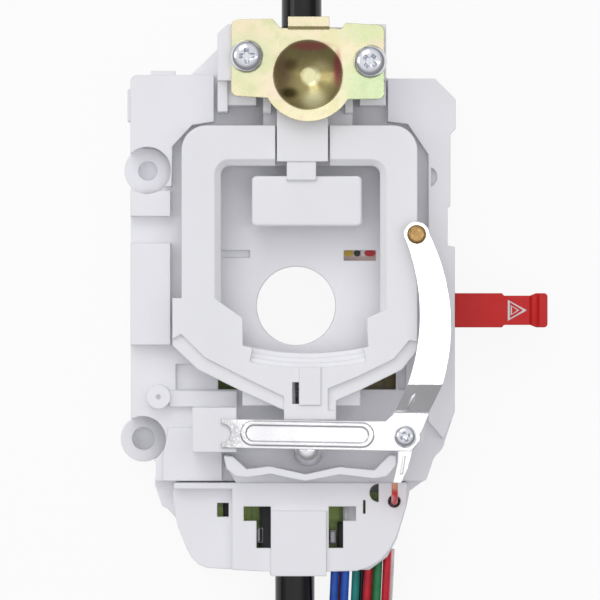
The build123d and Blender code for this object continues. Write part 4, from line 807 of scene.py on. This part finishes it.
COIL_STEPS_PER_TURN = 20
COIL_SIDES = 10
# Node, body, axis, wire radius, pitch, the joint that squeezes the spring, its travel and its fixed end
SPRINGS = [
    ("detent_spring", "cradle", 1, 0.35, 1.9, "detent_press", 1.5, "high"),
    ("hazard_spring", "housing", 0, 0.3, 1.3, "hazard_pull", 5.0, "high"),
    ("dimmer_spring", "housing", 2, 0.3, 1.6, "dimmer_slide", 2.8, "low"),
]


def coil(length, radius, pitch, wire_radius):
    """A closed coil of round wire along Z, from height 0."""
    turns = length / pitch
    steps = math.ceil(turns * COIL_STEPS_PER_TURN)
    form = bmesh.new()
    bmesh.ops.create_circle(form, cap_ends=False, segments=COIL_SIDES, radius=wire_radius)
    bmesh.ops.rotate(form, verts=form.verts, cent=(0, 0, 0), matrix=Matrix.Rotation(math.pi / 2, 3, "X"))
    bmesh.ops.translate(form, verts=form.verts, vec=(radius, 0, 0))
    bmesh.ops.spin(form, geom=form.verts[:] + form.edges[:], cent=(0, 0, 0), axis=(0, 0, 1),
                   dvec=(0, 0, length / steps), angle=2 * math.pi * turns, steps=steps, use_merge=False)
    bmesh.ops.holes_fill(form, edges=[edge for edge in form.edges if edge.is_boundary], sides=0)
    return form


class STALKSWITCH_OT_springs(bpy.types.Operator):
    """Replaces the coil springs with coils of round wire."""

    bl_idname = "stalkswitch.springs"
    bl_label = "Springs"

    def execute(self, context):
        for node, body, along, wire, pitch, joint, travel, fixed in SPRINGS:
            low, high = (Vector(corner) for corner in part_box(node))
            across = (along + 1) % 3
            span = high[along] - low[along]
            wire_radius = wire * MM
            form = coil(span - 2 * wire_radius, (high[across] - low[across]) / 2 - wire_radius, pitch * MM,
                        wire_radius)
            direction = Vector([1.0 if axis == along else 0.0 for axis in range(3)])
            bmesh.ops.rotate(form, verts=form.verts, cent=(0, 0, 0),
                             matrix=Vector((0, 0, 1)).rotation_difference(direction).to_matrix())
            foot = (low + high) / 2
            foot[along] = low[along] + wire_radius
            bmesh.ops.translate(form, verts=form.verts, vec=foot)
            spring = add_piece(f"{node}_coil", to_mesh(form, f"{node}_coil", 60.0), body, "spring_steel")
            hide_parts(node)
            anchor = (low + high) / 2
            anchor[along] = high[along] if fixed == "high" else low[along]
            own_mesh(spring)
        return {"FINISHED"}


FLOOR_HALF_SIZE = 12.0
FLOOR_HEIGHT = -0.0002
FLOOR_WHITE_SHARE = 0.9
LIGHTS_AIM = (0.0, 0.0, 0.02)
# Name, place, width, length and power
LIGHTS = (
    ("upper_softbox", (-0.35, 0.85, 1.0), 0.6, 0.6, 1.7),
    ("left_softbox", (-0.95, 0.2, 0.7), 0.5, 0.5, 0.9),
    ("strip_light", (0.44, 0.0, 1.2), 0.03, 0.9, 0.8),
)
# The sky brightens towards a direction: the share of it where that starts and ends, and the two strengths
SKY_DIRECTION = (-0.12, 0.3, 1.0)
SKY_RANGE = (("From Min", 0.3), ("From Max", 0.88), ("To Min", 0.31), ("To Max", 0.96))


class STALKSWITCH_OT_stage(bpy.types.Operator):
    """Makes the pale floor, the studio lights and the world's light."""

    bl_idname = "stalkswitch.stage"
    bl_label = "Stage"

    def execute(self, context):
        form = bmesh.new()
        bmesh.ops.create_grid(form, x_segments=1, y_segments=1, size=FLOOR_HALF_SIZE)
        data = bpy.data.meshes.new("studio_floor")
        form.to_mesh(data)
        form.free()
        floor = bpy.data.objects.new("studio_floor", data)
        context.scene.collection.objects.link(floor)
        floor.location = (0.0, 0.0, FLOOR_HEIGHT)
        material, tree, shader, coords = fresh_material("studio floor")
        tint = mottled(tree, noise(tree, coords, 3.0), colours().backdrop, 0.01)
        tree.links.new(tint, shader.inputs["Base Color"])
        shader.inputs["Roughness"].default_value = 0.9
        white = tree.nodes.new("ShaderNodeEmission")
        white.inputs["Color"].default_value = (1.0, 1.0, 1.0, 1.0)
        white.inputs["Strength"].default_value = 1.0
        rays = tree.nodes.new("ShaderNodeLightPath")
        reflected = combined(tree, "MAXIMUM", rays.outputs["Is Glossy Ray"],
                             rays.outputs["Is Transmission Ray"])
        seen = combined(tree, "MAXIMUM", rays.outputs["Is Camera Ray"], reflected)
        mix = tree.nodes.new("ShaderNodeMixShader")
        tree.links.new(combined(tree, "MULTIPLY", seen, FLOOR_WHITE_SHARE), mix.inputs["Fac"])
        tree.links.new(shader.outputs["BSDF"], mix.inputs[1])
        tree.links.new(white.outputs["Emission"], mix.inputs[2])
        output = next(node for node in tree.nodes if node.type == "OUTPUT_MATERIAL")
        tree.links.new(mix.outputs["Shader"], output.inputs["Surface"])
        data.materials.append(material)

        for name, place, width, length, power in LIGHTS:
            light = bpy.data.lights.new(name, "AREA")
            light.shape = "RECTANGLE"
            light.size = width
            light.size_y = length
            light.energy = power
            lamp = bpy.data.objects.new(name, light)
            context.scene.collection.objects.link(lamp)
            lamp.location = place
            lamp.rotation_euler = (Vector(LIGHTS_AIM) - Vector(place)).to_track_quat("-Z", "Y").to_euler()
            lamp.visible_camera = False

        world = bpy.data.worlds.new("studio")
        context.scene.world = world
        world.use_nodes = True
        tree = world.node_tree
        tree.nodes.clear()
        output = tree.nodes.new("ShaderNodeOutputWorld")
        direction = tree.nodes.new("ShaderNodeTexCoord")
        height = tree.nodes.new("ShaderNodeVectorMath")
        height.operation = "DOT_PRODUCT"
        height.inputs[1].default_value = Vector(SKY_DIRECTION).normalized()
        tree.links.new(direction.outputs["Generated"], height.inputs[0])
        sky = tree.nodes.new("ShaderNodeMapRange")
        sky.interpolation_type = "SMOOTHSTEP"
        for socket, value in SKY_RANGE:
            sky.inputs[socket].default_value = value
        tree.links.new(height.outputs["Value"], sky.inputs["Value"])
        soft = tree.nodes.new("ShaderNodeBackground")
        soft.inputs["Color"].default_value = (0.97, 0.97, 1.0, 1.0)
        tree.links.new(sky.outputs["Result"], soft.inputs["Strength"])
        tree.links.new(soft.outputs["Background"], output.inputs["Surface"])
        context.scene.view_settings.view_transform = "Standard"
        return {"FINISHED"}


class STALKSWITCH_PT_panel(bpy.types.Panel):
    """Lists the switch's builders."""

    bl_idname = "STALKSWITCH_PT_panel"
    bl_label = "Stalk Switch"
    bl_space_type = "VIEW_3D"
    bl_region_type = "UI"
    bl_category = "Stalk Switch"

    def draw(self, context):
        for prop in ("wire_diameter", "edge_softness", "bracket_recess", "bar_recess", "symbol_raise",
                     "camera_distance"):
            self.layout.prop(context.scene.stalk_switch_sizes, prop)
        for prop in ("housing", "moving", "hazard", "stalk", "backdrop"):
            self.layout.prop(context.scene.stalk_switch_colours, prop)
        for operator in OPERATORS:
            self.layout.operator(operator.bl_idname)


OPERATORS = (
    STALKSWITCH_OT_camera,
    STALKSWITCH_OT_harness,
    STALKSWITCH_OT_finishes,
    STALKSWITCH_OT_screws,
    STALKSWITCH_OT_symbol,
    STALKSWITCH_OT_fittings,
    STALKSWITCH_OT_crease,
    STALKSWITCH_OT_springs,
    STALKSWITCH_OT_stage,
)
CLASSES = (StalkSwitchSizes, StalkSwitchColours, *OPERATORS, STALKSWITCH_PT_panel)


def register():
    """Adds the classes and the scene's properties."""
    for cls in CLASSES:
        bpy.utils.register_class(cls)
    bpy.types.Scene.stalk_switch_sizes = bpy.props.PointerProperty(type=StalkSwitchSizes)
    bpy.types.Scene.stalk_switch_colours = bpy.props.PointerProperty(type=StalkSwitchColours)


def unregister():
    """Takes the properties and the classes away again."""
    del bpy.types.Scene.stalk_switch_colours
    del bpy.types.Scene.stalk_switch_sizes
    for cls in reversed(CLASSES):
        bpy.utils.unregister_class(cls)


def main():
    """Builds the whole dressed switch."""
    register()
    build_finishes()
    bpy.ops.stalkswitch.camera()
    bpy.ops.stalkswitch.harness()
    bpy.ops.stalkswitch.finishes()
    bpy.ops.stalkswitch.screws()
    bpy.ops.stalkswitch.symbol()
    bpy.ops.stalkswitch.fittings()
    bpy.ops.stalkswitch.crease()
    bpy.ops.stalkswitch.springs()
    bpy.ops.stalkswitch.stage()
    bpy.context.view_layer.update()


if __name__ == "__main__":
    main()
